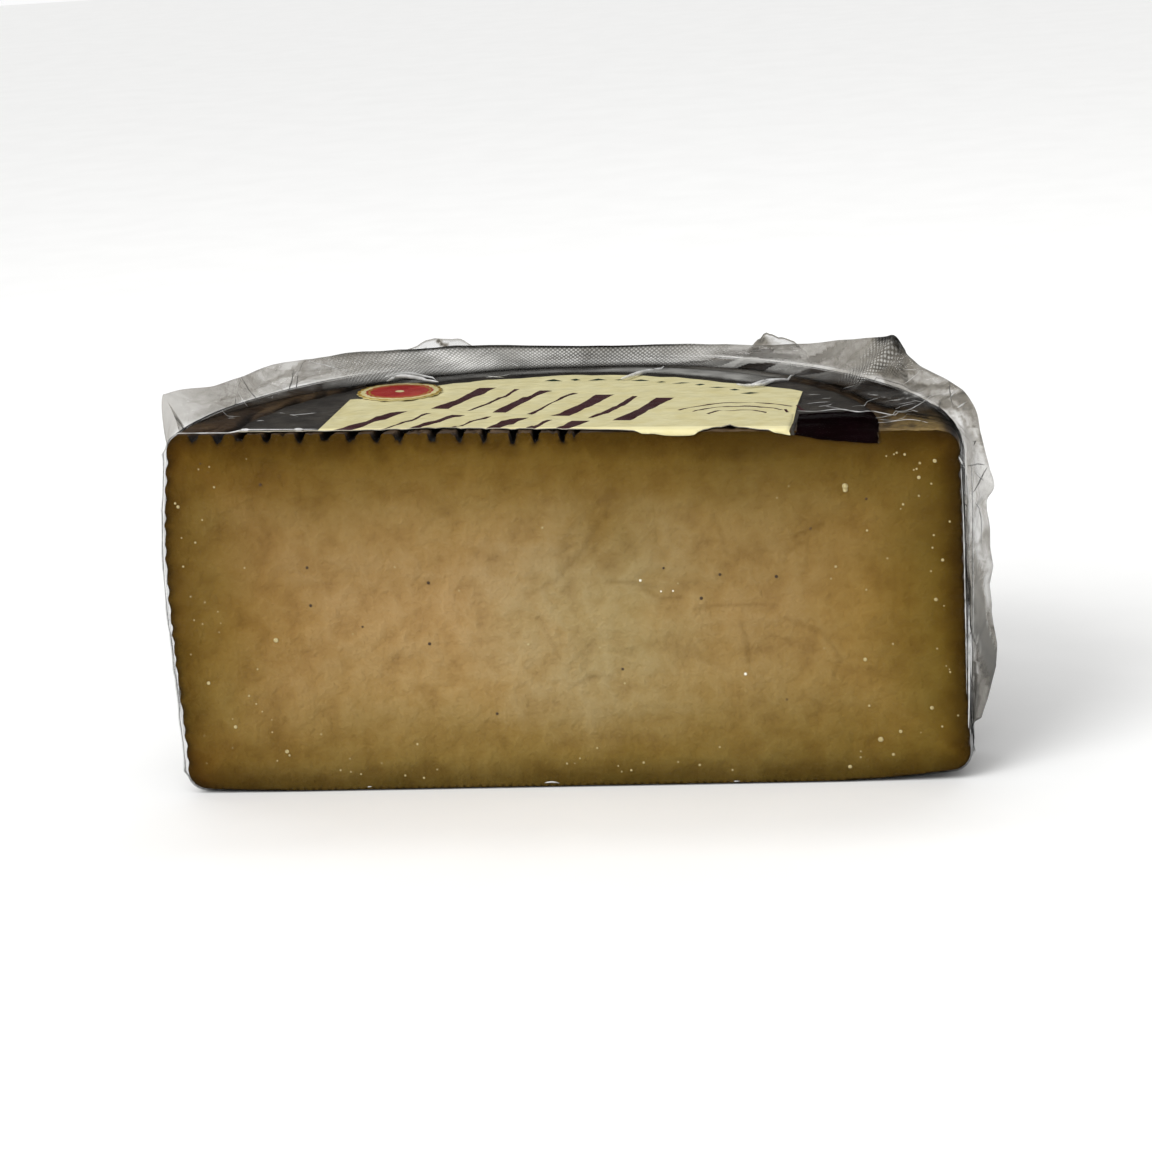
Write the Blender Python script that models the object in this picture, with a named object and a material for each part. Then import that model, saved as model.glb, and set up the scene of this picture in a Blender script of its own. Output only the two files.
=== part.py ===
"""Half a round of cured hard cheese in its vacuum bag, with a round paper label and a seal.

Metres, +Z up. The cut face looks along -Y, the round side lies towards +Y, and the cheese
stands on its flat base. Every shape is laid out with the middle of the cut's lower edge at
zero, and the whole is moved at the end so that the origin is the middle of its base.
"""

import math
import random

import bpy
import bmesh
from mathutils import Vector
from mathutils.geometry import delaunay_2d_cdt

MM = 0.001

# The half wheel. It was cut a little past its middle, and it is uneven: the side at -X
# stands taller, leans in towards the top and bulges at half height. The base is crowned
# round a flat middle, and rises more towards +X.
WHEEL_WIDTH = 200.4 * MM
WHEEL_DEPTH = 105 * MM
WHEEL_HEIGHT = 92.6 * MM
BASE_CROWN = 1.9 * MM
BASE_CROWN_SKEW = 0.35
BASE_FLAT_SHARE = 0.6
BASE_RINGS = 3
TOP_FALL = 0.032
HIGH_SIDE_SPREAD = 1.9 * MM
HIGH_SIDE_LEAN = 3.8 * MM
HIGH_SIDE_BULGE = 1.7 * MM
TOP_ROUND = 5 * MM
BASE_ROUND = 5 * MM
ROUND_STEPS = 3
SIDE_COLUMNS = 64

# The zigzag ribs that the plaited grass mould leaves round the side.
RIB_PITCH = 4.5 * MM
RIB_DEPTH = 0.9 * MM
RIB_FADE_ROWS = 6
ZIGZAG_REACH = 1.9 * MM
ZIGZAG_STEPS = (0, 1, 0, -1)

# The grooves that the pressing board leaves in the top, running back from the cut. They
# are pressed nearly flat on the side towards +X.
GROOVE_PITCH = 6.3 * MM
GROOVE_WIDTH = 3.3 * MM
GROOVE_DEPTH = 2 * MM
GROOVE_EXTRA_AT_CUT = 1.3 * MM
GROOVE_CUT_ZONE = 12 * MM
GROOVE_SLANT = 0.5 * MM
GROOVE_SWAY = 1.1 * MM
GROOVE_STEP = 8 * MM
GROOVE_RIM_MARGIN = 0.045
GROOVE_UNEVEN = (0.55, 1.1)
GROOVE_PRESSED_FROM = 8 * MM
GROOVE_PRESSED = 0.35
GROOVE_SEED = 11

# The round paper label, cut with the cheese. Its reach is how far the cut edge of the
# paper hangs over the cut face, and a reach below zero stops short of the edge.
LABEL_RADIUS = 80.5 * MM
LABEL_MIDDLE = 0.3 * MM
LABEL_THICKNESS = 0.3 * MM
LABEL_CLEARANCE = 0.65 * MM
LABEL_END_TRIM = 0.5 * MM
LABEL_COLUMNS = 52
LABEL_ROWS = 7
LABEL_FRONT_ROWS = 4
LABEL_FRONT_SPACING = 0.6 * MM
LABEL_REACH = ((-80, -1), (-58, -2.5), (-29, -5), (6, -7), (20, -2), (34, -0.3), (42, -3),
               (52, -0.6), (62, 0.8), (70, 2.1), (80, 3))

# The round seal stuck on the label.
SEAL_RADIUS = 11.2 * MM
SEAL_PLACE = (-47.8 * MM, 48 * MM)
SEAL_THICKNESS = 0.3 * MM
SEAL_GAP = 0.3 * MM
SEAL_SIDES = 40

# The bag. Where its two films meet they stand off the cheese as a fold that climbs the
# round side at +X, follows the rim round the back and comes down at -X. Each station
# gives the angle round the wheel, the drop along the surface from the edge of the flat
# top, the fold's height, how far it turns from outward (0) to upright (1), and how far
# its front and back feet reach over the cheese. Degrees and millimetres.
BAG_STATIONS = (
    (12, 84, 3, 0.0, 14, 3),
    (12, 72, 7, 0.0, 17, 4),
    (12, 45, 8, 0.0, 18, 4),
    (12, 18, 6, 0.1, 18, 4),
    (17, 2, 7, 0.4, 16, 4),
    (33, -2, 10, 0.8, 14, 5),
    (50, -6, 7, 1.0, 12, 7),
    (65, -10, 5, 1.0, 10, 9),
    (90, -19, 5, 1.0, 8, 12),
    (118, -12, 7, 1.0, 14, 9),
    (143, -3, 7, 1.0, 14, 5),
    (165, 0, 7, 1.0, 5, 4),
    (174, 4, 9, 0.9, 4, 4),
    (175.5, 22, 4, 0.1, 5, 4),
    (175.5, 50, 3, 0.0, 5, 4),
    (175.5, 84, 2.5, 0.0, 5, 3),
)
BAG_STEPS = 8
BAG_FRONT_STEPS = 6
BAG_BACK_STEPS = 3
BAG_TIP = 0.4 * MM
BAG_FOOT = 0.5 * MM
BAG_SAG = 0.12
BAG_GAP_WALL = 0.8 * MM
BAG_GAP_TOP = 1.5 * MM
BAG_GAP_CHANGE = (-14 * MM, -5 * MM)
BAG_RIPPLE = 0.5 * MM
BAG_RIPPLE_LENGTH = 17 * MM

# Edges that turn more than this stay sharp in the shading, in degrees.
SHARP_EDGE = 35

# Points of the top closer than this are one point, in millimetres.
SAME_POINT = 1e-5

# Colours as red, green, blue from 0 to 1, and roughness.
PASTE = ((0.42, 0.29, 0.11), 0.45)
PAPER = ((0.03, 0.028, 0.03), 0.5)
SEAL_RED = ((0.42, 0.04, 0.03), 0.35)
FILM = ((0.62, 0.63, 0.63), 0.15)


def clear_scene():
    for item in list(bpy.data.objects):
        bpy.data.objects.remove(item, do_unlink=True)


def make_material(name, look):
    """A plain finish of one colour."""
    colour, roughness = look
    material = bpy.data.materials.new(name)
    material.use_nodes = True
    shader = material.node_tree.nodes["Principled BSDF"]
    shader.inputs["Base Color"].default_value = (*colour, 1)
    shader.inputs["Roughness"].default_value = roughness
    shader.inputs["Metallic"].default_value = 0
    return material


def finish_object(name, mesh_builder, look):
    """Turn a bmesh into a named object whose faces point out."""
    bmesh.ops.recalc_face_normals(mesh_builder, faces=mesh_builder.faces[:])
    mesh = bpy.data.meshes.new(name)
    mesh_builder.to_mesh(mesh)
    mesh_builder.free()
    mesh.shade_smooth()
    mesh.set_sharp_from_angle(angle=math.radians(SHARP_EDGE))
    mesh.materials.append(make_material(name, look))
    item = bpy.data.objects.new(name, mesh)
    bpy.context.scene.collection.objects.link(item)
    return item


def blend(low, high, value):
    """0 below low, 1 above high and a smooth step between them."""
    share = min(1, max(0, (value - low) / (high - low)))
    return share * share * (3 - 2 * share)


def top_height(x):
    return WHEEL_HEIGHT - TOP_FALL * x


def wall_point(angle, height, inset):
    """A point of the wheel's outline at a height, moved in from the wall by inset."""
    share = height / WHEEL_HEIGHT
    high_side = (WHEEL_WIDTH / 2 + HIGH_SIDE_SPREAD - HIGH_SIDE_LEAN * share
                 + HIGH_SIDE_BULGE * math.sin(math.pi * min(1, share)))
    towards_high_side = (1 - math.cos(angle)) / 2
    across = WHEEL_WIDTH / 2 + (high_side - WHEEL_WIDTH / 2) * towards_high_side - inset
    back = WHEEL_DEPTH - inset
    return across * math.cos(angle), back * max(0, round(math.sin(angle), 9))


def side_column(angle, zigzag):
    """Points up the wheel at one angle: crowned base, base edge, ribs and top edge."""
    lift = BASE_CROWN * (1 + BASE_CROWN_SKEW * math.cos(angle))
    x, y = wall_point(angle, 0, BASE_ROUND)
    points = []
    for ring in range(BASE_RINGS):
        share = ring / BASE_RINGS
        reach = BASE_FLAT_SHARE + (1 - BASE_FLAT_SHARE) * share
        points.append(Vector((x * reach, y * reach, lift * share * share)))
    for step in range(ROUND_STEPS):
        turn = math.pi / 2 * step / ROUND_STEPS
        height = lift + BASE_ROUND * (1 - math.cos(turn))
        x, y = wall_point(angle, height, BASE_ROUND * (1 - math.sin(turn)))
        points.append(Vector((x, y, height)))
    foot = lift + BASE_ROUND
    head = top_height(WHEEL_WIDTH / 2 * math.cos(angle)) - TOP_ROUND
    rows = 2 * round((WHEEL_HEIGHT - TOP_ROUND - BASE_ROUND) / RIB_PITCH)
    for row in range(rows + 1):
        fade = min(1, row / RIB_FADE_ROWS, (rows - row) / RIB_FADE_ROWS)
        height = foot + (head - foot) * row / rows + zigzag * ZIGZAG_REACH * fade
        inset = RIB_DEPTH if row % 2 else 0
        x, y = wall_point(angle, height, inset)
        points.append(Vector((x, y, height)))
    for step in range(1, ROUND_STEPS + 1):
        turn = math.pi / 2 * step / ROUND_STEPS
        inset = TOP_ROUND * (1 - math.cos(turn))
        x, y = wall_point(angle, head, inset)
        height = head + TOP_ROUND * math.sin(turn)
        if step == ROUND_STEPS:
            height = top_height(x)
        points.append(Vector((x, y, height)))
    return points


def inside_top(x, y):
    """Whether a groove may run at this place of the top, clear of its rounded rim."""
    across = WHEEL_WIDTH / 2 - TOP_ROUND - HIGH_SIDE_LEAN
    back = WHEEL_DEPTH - TOP_ROUND
    return math.hypot(x / across, y / back) < 1 - GROOVE_RIM_MARGIN


def groove_lines():
    """Each groove as three lines of (x, y, depth) from the cut backwards: lip, bed, lip."""
    uneven = random.Random(GROOVE_SEED)
    count = int(WHEEL_WIDTH / 2 / GROOVE_PITCH)
    grooves = []
    for index in range(-count, count + 1):
        middle = index * GROOVE_PITCH
        strength = uneven.uniform(*GROOVE_UNEVEN)
        if middle > GROOVE_PRESSED_FROM:
            strength *= GROOVE_PRESSED
        lips = (-GROOVE_WIDTH / 2, GROOVE_SLANT, GROOVE_WIDTH / 2)
        rows = []
        y = 0.0
        while inside_top(abs(middle) + GROOVE_WIDTH / 2 + GROOVE_SWAY, y + GROOVE_STEP / 2):
            sway = GROOVE_SWAY * ZIGZAG_STEPS[len(rows) % len(ZIGZAG_STEPS)]
            near_cut = 1 - blend(0, GROOVE_CUT_ZONE, y)
            bed = strength * (GROOVE_DEPTH + GROOVE_EXTRA_AT_CUT * near_cut)
            rows.append([(middle + sway + lip, y, bed if place == 1 else 0)
                         for place, lip in enumerate(lips)])
            y += GROOVE_STEP
        if len(rows) > 1:
            grooves.append(rows)
    return grooves


def add_top(builder, rim):
    """Close the top between the rim and the cut, and return the cut's edge from +X to -X."""
    points = [vertex.co.copy() for vertex in rim]
    edges = [(index, index + 1) for index in range(len(rim) - 1)]
    front = []
    for rows in groove_lines():
        start = len(points)
        for row in rows:
            points.extend(Vector((x, y, top_height(x) - depth)) for x, y, depth in row)
        front.append([start, start + 1, start + 2])
        for row in range(len(rows) - 1):
            first = start + 3 * row
            edges.extend((first + place, first + place + 3) for place in range(3))
        x, y, _ = rows[-1][1]
        points.append(Vector((x, y + GROOVE_STEP / 2, top_height(x))))
        last = len(points) - 1
        edges.extend((last - 3 + place, last) for place in range(3))
    across = [len(rim) - 1] + [point for groove in front for point in groove] + [0]
    edges.extend(zip(across, across[1:]))
    flat = [Vector((point.x / MM, point.y / MM)) for point in points]
    found, _, faces, origins, _, _ = delaunay_2d_cdt(flat, edges, [], 0, SAME_POINT)
    vertices = list(rim) + [builder.verts.new(point) for point in points[len(rim):]]
    owner = [origins[index][0] for index in range(len(found))]
    for face in faces:
        builder.faces.new([vertices[owner[corner]] for corner in face])
    return [vertices[point] for point in reversed(across)]


def build_cheese():
    """The half wheel: ribbed side, grooved top, crowned base and flat cut."""
    builder = bmesh.new()
    columns = []
    for index in range(SIDE_COLUMNS + 1):
        angle = math.pi * index / SIDE_COLUMNS
        zigzag = ZIGZAG_STEPS[index % len(ZIGZAG_STEPS)]
        columns.append([builder.verts.new(point) for point in side_column(angle, zigzag)])
    for left, right in zip(columns, columns[1:]):
        for row in range(len(left) - 1):
            builder.faces.new((left[row], left[row + 1], right[row + 1], right[row]))
    top_edge = add_top(builder, [column[-1] for column in columns])
    builder.faces.new([column[0] for column in columns])
    cut = columns[0][:-1] + top_edge + columns[-1][-2::-1]
    builder.faces.new(cut)
    return finish_object("cheese", builder, PASTE)


def label_reach(x):
    """How far the paper hangs over the cut at this place along it."""
    stations = [(place * MM, reach * MM) for place, reach in LABEL_REACH]
    for (low, first), (high, second) in zip(stations, stations[1:]):
        if x <= high:
            return first + (second - first) * blend(low, high, x)
    return stations[-1][1]


def label_column(x):
    """Points of the paper from its hanging front edge to its back edge."""
    reach = label_reach(x)
    back = math.sqrt(LABEL_RADIUS ** 2 - (x - LABEL_MIDDLE) ** 2)
    top = top_height(x)
    turn = LABEL_CLEARANCE
    if reach > 0:
        corner = turn * math.sin(math.pi / 4)
        points = [(-turn, top - reach), (-turn, top), (-corner, top + corner), (0, top + turn)]
    else:
        points = [(-reach + LABEL_FRONT_SPACING * step, top + turn)
                  for step in range(LABEL_FRONT_ROWS)]
    start = points[-1][0]
    for row in range(1, LABEL_ROWS + 1):
        points.append((start + (back - start) * row / LABEL_ROWS, top + turn))
    return [Vector((x, y, z)) for y, z in points]


def add_sheet(builder, grid, thickness):
    """A closed thin solid round a grid of points, half its thickness to either side."""
    rows, columns = len(grid), len(grid[0])
    front, back = [], []
    for row in range(rows):
        front.append([])
        back.append([])
        for column in range(columns):
            along = (grid[min(row + 1, rows - 1)][column] - grid[max(row - 1, 0)][column])
            across = (grid[row][min(column + 1, columns - 1)] - grid[row][max(column - 1, 0)])
            offset = along.cross(across).normalized() * (thickness / 2)
            front[row].append(builder.verts.new(grid[row][column] + offset))
            back[row].append(builder.verts.new(grid[row][column] - offset))
    for row in range(rows - 1):
        for column in range(columns - 1):
            for side in (front, back):
                builder.faces.new((side[row][column], side[row][column + 1],
                                   side[row + 1][column + 1], side[row + 1][column]))
    rim = [(0, column) for column in range(columns)]
    rim += [(row, columns - 1) for row in range(1, rows)]
    rim += [(rows - 1, column) for column in range(columns - 2, -1, -1)]
    rim += [(row, 0) for row in range(rows - 2, 0, -1)]
    for (row, column), (next_row, next_column) in zip(rim, rim[1:] + rim[:1]):
        builder.faces.new((front[row][column], front[next_row][next_column],
                           back[next_row][next_column], back[row][column]))


def build_label():
    """The paper lies on the top and hangs over the cut at +X."""
    builder = bmesh.new()
    half = LABEL_RADIUS - LABEL_END_TRIM
    grid = []
    for index in range(LABEL_COLUMNS + 1):
        angle = math.pi * (1 - index / LABEL_COLUMNS)
        grid.append(label_column(LABEL_MIDDLE + half * math.cos(angle)))
    add_sheet(builder, grid, LABEL_THICKNESS)
    return finish_object("label", builder, PAPER)


def build_seal():
    """A round disc lying on the paper."""
    builder = bmesh.new()
    bmesh.ops.create_cone(builder, cap_ends=True, segments=SEAL_SIDES, radius1=SEAL_RADIUS,
                          radius2=SEAL_RADIUS, depth=SEAL_THICKNESS)
    base = LABEL_CLEARANCE + LABEL_THICKNESS / 2 + SEAL_GAP + SEAL_THICKNESS / 2
    for vertex in builder.verts:
        vertex.co.x += SEAL_PLACE[0]
        vertex.co.y += SEAL_PLACE[1]
        vertex.co.z += top_height(vertex.co.x) + base
    return finish_object("seal", builder, SEAL_RED)


def surface_point(angle, drop, gap):
    """A point off the wheel's surface. Drop runs from the flat top's edge over the rim."""
    quarter = math.pi / 2 * TOP_ROUND
    outward = Vector((math.cos(angle), math.sin(angle), 0))
    turn = min(math.pi / 2, max(0, drop / TOP_ROUND))
    inset = TOP_ROUND * (1 - math.sin(turn)) - min(0, drop)
    x, y = wall_point(angle, WHEEL_HEIGHT - max(0, drop - quarter), inset)
    height = top_height(x) - TOP_ROUND * (1 - math.cos(turn)) - max(0, drop - quarter)
    normal = outward * math.sin(turn) + Vector((0, 0, math.cos(turn)))
    return Vector((x, y, height)) + normal * gap


def bag_gap(drop):
    """The film lies closer to the wall than to the top, where the paper is under it."""
    return BAG_GAP_TOP + (BAG_GAP_WALL - BAG_GAP_TOP) * blend(*BAG_GAP_CHANGE, drop)


def curve_through(stations, index, share):
    """A smooth curve through the stations, read between one and the next."""
    last = len(stations) - 1
    near = [stations[min(last, max(0, index + step))] for step in (-1, 0, 1, 2)]
    values = []
    for before, here, after, beyond in zip(*near):
        values.append(0.5 * (2 * here + (after - before) * share
                             + (2 * before - 5 * here + 4 * after - beyond) * share ** 2
                             + (3 * here - before - 3 * after + beyond) * share ** 3))
    return values


def bag_path():
    """Stations along the fold, evenly read between the given ones, in radians and metres."""
    stations = [(math.radians(angle), drop * MM, height * MM, upright, front * MM, back * MM)
                for angle, drop, height, upright, front, back in BAG_STATIONS]
    path = []
    for index in range(len(stations) - 1):
        for step in range(BAG_STEPS):
            path.append(curve_through(stations, index, step / BAG_STEPS))
    path.append(list(stations[-1]))
    return path


def bag_section(path, index):
    """The fold's cross-section at one station: base on the cheese and two films to a tip."""
    angle, drop, height, upright, front, back = path[index]
    before = path[max(0, index - 1)]
    after = path[min(len(path) - 1, index + 1)]
    radius = WHEEL_WIDTH / 2
    along = Vector(((after[0] - before[0]) * radius, after[1] - before[1])).normalized()
    sideways = Vector((along.y, -along.x))

    def foot(reach, lift):
        place = angle + sideways.x * reach / radius
        fall = drop + sideways.y * reach
        return surface_point(place, fall, bag_gap(fall) + lift)

    outward = Vector((math.cos(angle), math.sin(angle), 0))
    pointing = (outward * (1 - upright) + Vector((0, 0, upright))).normalized()
    ripple = BAG_RIPPLE * math.sin((angle * radius + drop) / BAG_RIPPLE_LENGTH * math.tau)
    root = foot(0, 0)
    tip = root + pointing * (height + ripple)
    towards_front = (foot(front, 0) - foot(-back, 0)).normalized()
    front_top, back_top = foot(front, BAG_FOOT), foot(-back, BAG_FOOT)
    front_middle = (front_top + tip) / 2 + (root - tip) * BAG_SAG
    back_middle = (back_top + tip) / 2 + (root - tip) * BAG_SAG
    films = [front_top, front_middle, tip + towards_front * BAG_TIP,
             tip - towards_front * BAG_TIP, back_middle, back_top]
    base = [foot(-back * (1 - step / BAG_BACK_STEPS), 0) for step in range(BAG_BACK_STEPS)]
    base += [foot(front * step / BAG_FRONT_STEPS, 0) for step in range(BAG_FRONT_STEPS + 1)]
    return films + base


def build_bag():
    """The standing fold of the bag, as one closed sweep of its cross-section."""
    builder = bmesh.new()
    path = bag_path()
    rings = []
    for index in range(len(path)):
        rings.append([builder.verts.new(point) for point in bag_section(path, index)])
    for first, second in zip(rings, rings[1:]):
        for place in range(len(first)):
            following = (place + 1) % len(first)
            builder.faces.new((first[place], first[following],
                               second[following], second[place]))
    builder.faces.new(rings[0])
    builder.faces.new(rings[-1][::-1])
    return finish_object("bag", builder, FILM)


def centre_on_base(items):
    """Move the meshes so that the origin is the middle of the base of their common box."""
    corners = [vertex.co for item in items for vertex in item.data.vertices]
    middle_x = (min(point.x for point in corners) + max(point.x for point in corners)) / 2
    middle_y = (min(point.y for point in corners) + max(point.y for point in corners)) / 2
    base = min(point.z for point in corners)
    shift = Vector((middle_x, middle_y, base))
    for item in items:
        for vertex in item.data.vertices:
            vertex.co -= shift


def main():
    clear_scene()
    centre_on_base([build_cheese(), build_label(), build_seal(), build_bag()])


main()
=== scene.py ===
"""Half a round of cured hard cheese in its vacuum bag, with a round paper label and a seal.

Lengths are millimetres and +Z is up. Everything is laid out from the middle of the cut's lower
edge: the cut face looks along -Y, the round side lies towards +Y, and the taller side is at -X.
"""

import math
import random
from collections import namedtuple

import bmesh
import bpy
from mathutils import Matrix, Vector, kdtree, noise
from mathutils.bvhtree import BVHTree
from mathutils.geometry import delaunay_2d_cdt


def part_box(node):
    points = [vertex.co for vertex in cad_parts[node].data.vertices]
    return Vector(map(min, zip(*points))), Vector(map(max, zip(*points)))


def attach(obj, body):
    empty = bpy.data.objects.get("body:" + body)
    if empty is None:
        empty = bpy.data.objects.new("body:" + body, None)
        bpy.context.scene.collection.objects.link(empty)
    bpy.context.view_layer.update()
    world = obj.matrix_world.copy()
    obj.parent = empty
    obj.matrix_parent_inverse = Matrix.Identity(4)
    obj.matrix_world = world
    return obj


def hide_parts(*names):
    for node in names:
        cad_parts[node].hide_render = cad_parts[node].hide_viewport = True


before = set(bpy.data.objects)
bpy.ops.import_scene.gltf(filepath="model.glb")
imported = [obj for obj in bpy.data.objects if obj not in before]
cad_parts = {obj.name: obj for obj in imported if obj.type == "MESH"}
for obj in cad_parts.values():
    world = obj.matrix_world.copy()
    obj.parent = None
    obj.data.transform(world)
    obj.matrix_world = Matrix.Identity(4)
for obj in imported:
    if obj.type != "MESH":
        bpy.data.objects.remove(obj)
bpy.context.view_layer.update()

MM = 0.001

# The half wheel: uneven, taller at -X, where the side leans in towards the top and bulges
# above half height. The base is crowned round a flat middle, which leaves the film its lift
# off the floor, and rises more towards +X.
WHEEL_RADIUS = 100.2
WHEEL_DEPTH = 105
WHEEL_HEIGHT = 92.6
BASE_CROWN = 1.9
BASE_CROWN_SKEW = 0.35
BASE_FLAT_SHARE = 0.6
TOP_FALL = 0.032
HIGH_SIDE_SPREAD = 1.9
HIGH_SIDE_LEAN = 3.8
HIGH_SIDE_BULGE = 2.5
BULGE_RISE = 1.5
TOP_ROUND = 5
BASE_ROUND = 5
ROUND_STEPS = 6
LIFT_FOR_FILM = 0.3

# The frame's place of the layout's zero, from the cheese's own box.
CHEESE_LOW, CHEESE_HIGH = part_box("cheese")
ORIGIN = Vector((CHEESE_HIGH.x - WHEEL_RADIUS * MM, CHEESE_LOW.y, 0))

# The zigzag ribs that the plaited grass mould leaves round the side, with its strands as finer
# lines across them.
RIB_COUNT = 18
RIB_DEPTH = 0.9
RIB_FADE = 1 / 6
ZIGZAG_REACH = 1.9
ZIGZAG_TURN = math.pi / 16
STRAND_PITCH = 3.3
STRAND_DEPTH = 0.22
STRAND_SLANT = 1.5
RIB_WANDER = 0.45
RIB_SHARPNESS = 1.5
RIB_EVEN = 0.85
RIB_UNEVEN = 0.5
# They are worn by this share near the ends of the side, between two angles round the wheel.
RIB_WORN_AT_CUT = 0.4
RIB_WORN_LEFT = (2.95, 3.1)
RIB_WORN_RIGHT = (-0.19, -0.04)

# The grooves that the pressing board leaves in the top, running back from the cut.
GROOVE_PITCH = 6.3
GROOVE_WIDTH = 3.3
GROOVE_DEPTH = 2
GROOVE_CUT_ZONE = 12
GROOVE_SWAY = 1.1
GROOVE_STEP = 8
GROOVE_UNEVEN = (0.55, 1.1)
GROOVE_PRESSED_FROM = 4
GROOVE_PRESSED_WHOLLY = 8
GROOVE_PRESSED = 0.35
GROOVE_ROUNDNESS = 1.6
GROOVE_SEED = 11
# In the cut the mouths are wide and shallow on the left and narrow and deep from the middle on.
MOUTH_WIDTHS = ((-40, 2.8), (-22, 1.9))
MOUTH_DEPTHS = ((-40, 2), (-22, 2.8))
MOUTH_ROUNDNESS = 5
MOUTH_STRENGTH = 0.85
# The grooves fade out towards the rim, between two shares of the way to it: on the top, and
# where the cut opens them.
GROOVE_RIM = (0.865, 0.955)
MOUTH_RIM = (0.98, 1)
# How far the mouths of the grooves lie off their even places in the cut, by their number from
# the middle, and how far the foot of each leans to the left.
GROOVE_SHIFTS = {-14: -2.9, -13: -2.9, -12: -3.6, -11: -2.9, -10: -0.7, -9: -0.4, -8: -0.1,
                 -7: 0.2, -6: -0.3, -5: 1.7, -4: 2.3, -3: 2.2, -2: 3.1, -1: 2.5, 0: 3}
GROOVE_LEAN = 0.3
GROOVE_TORN = 0.9
RIND_GRAIN = 0.18
# The dark line along the paste's edge: its reach, its strength at the rind's crests and how
# much less that is between the grooves' mouths, and the reach of its wider darkening at the
# right. Behind the rind's hollows it is painted shade.
RIM_REACH = 0.6
RIM_CREST = 0.35
RIM_CREST_LESS = 0.25
RIGHT_DARK_REACH = 3.2

# How fine a half wheel is made: parts round and up the side, and the spacing of points along
# the cut's edge, in the zone of the top beside it, on the top, on the base and on the cut.
Fineness = namedtuple("Fineness", "columns rows edge zone top base cut")
CHEESE_FINENESS = Fineness(columns=244, rows=112, edge=0.5, zone=9, top=1.25, base=4, cut=0.85)
SKIN_FINENESS = Fineness(columns=160, rows=46, edge=1.2, zone=4, top=2, base=6, cut=2.2)
# As shares of the spacing along the edge: how clear of the edge the inner points stay, and the
# spacing in the zone beside it.
EDGE_CLEAR = 0.55
EDGE_ZONE_SPACING = 1.3

# Lines in the cut face where the curd knit together, as places across and up the cut, with the
# depth of the line. The paste is also painted darker along them, as shade in their hollows.
CURD_LINES = (
    (((39, 71), (41, 65), (42, 60)), 0.22),
    (((59, 64), (62, 65), (66, 67)), 0.4),
    (((33, 46), (39, 47), (47, 47), (51, 47)), 0.3),
    (((45, 42), (46, 37), (46, 32)), 0.32),
    (((56, 43), (65, 39), (69, 32), (67, 27)), 0.25),
    (((12, 54), (20, 53), (24, 52)), 0.3),
    (((2, 27), (6, 29), (11, 29)), 0.28),
    (((-2, 54), (4, 60), (8, 65), (10, 69)), 0.3),
    (((-9, 51), (-6, 52), (-3, 54)), 0.22),
    (((-6, 45), (-4, 39), (-2, 34)), 0.22),
    (((-35, 68), (-32, 71), (-27, 73)), 0.16),
    (((20, 52), (25, 49), (30, 49)), 0.3),
    (((57, 60), (62, 63), (66, 66)), 0.2),
    (((21, 75), (11, 70), (8, 60)), 0.16),
    (((32, 38), (34, 33), (41, 30)), 0.2),
)
CURD_LINE_WIDTH = 0.55
CURD_LINE_BEND = 0.8
CURD_SWELL = 0.35
CURD_CRUMBLE = 0.16

# How far the paste reaches across and up the cut.
PASTE_REACH = 98
PASTE_RISE = (3, 90)

# Small pits in the paste, painted as dark grains of shadow, as (across, up).
PITS = ((-75, 82), (-65, 60), (-65, 50), (-34, 55), (-19, 20), (-35, 39), (-90, 88), (77, 73),
        (35, 49), (40, 55), (54, 54), (55, 22), (26, 57), (-52, 44), (14, 31), (63, 66))
PIT_SIZES = (0.45, 0.9)

# Salt-like crystals in the paste. The largest are placed as (across, up, size), and the small
# ones gather towards the rind.
CRYSTALS = ((72, 76.4, 1.5), (72, 75.5, 1.3), (78, 11, 1.4), (70, 4, 1), (-75, 41, 1.3),
            (-94, 30, 1), (-88, 18, 1), (-75, 11, 1.1), (75, 32, 1), (94, 82, 1),
            (90, 78, 0.9), (-97, 77, 0.9), (95, 57, 0.8), (93, 47, 0.9), (91, 19, 1),
            (83, 13, 0.9), (81, 7, 0.8))
SMALL_CRYSTALS = 95
SMALL_CRYSTAL_SIZES = (0.3, 0.65)
CRYSTAL_ZONE = 14
CRYSTALS_INSIDE = 0.05
CRYSTALS_LEFT = 0.6
CRYSTAL_SEED = 5
GRAIN_STAND = 0.05
# Near-white grains on the paste that stand for glints: painted highlights, as (across, up, size).
GLINT_GRAINS = ((20, 54, 0.7), (25, 51, 0.5), (28, 51, 0.5), (45, 29, 0.8))

# The round paper label, cut with the cheese. Its reach is how far the paper hangs over the
# cut, and a reach below zero stops short of the edge.
LABEL_RADIUS = 80.5
LABEL_MIDDLE = 0.3
LABEL_THICKNESS = 0.25
LABEL_CLEARANCE = 0.4
LABEL_BEND = math.pi / 2 * LABEL_CLEARANCE
LABEL_SPACING = 1.3
LABEL_EDGE_STEPS = 150
LABEL_RIM_STEPS = 190
# The paper is crinkled, sags into the grooves down to its lowest, and has one raised fold.
LABEL_FRAY = 0.25
LABEL_CRINKLE = 0.22
LABEL_SAG = 0.16
LABEL_LOWEST = -0.28
LABEL_FOLD = ((61, 27), (50, 13), (44, 3))
LABEL_FOLD_HEIGHT = 0.7
LABEL_FOLD_WIDTH = 1.1
LABEL_REACH = ((-80, -1.5), (-58, -2), (-29, -4.5), (0, -3), (14, -1.5), (25, 0.4), (31, 0.9),
               (35, 0.9), (38, -0.4), (41, -3.5), (47, -3), (53, -0.2), (60, 0.9), (68, 2.2),
               (79.5, 3.1))

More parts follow.
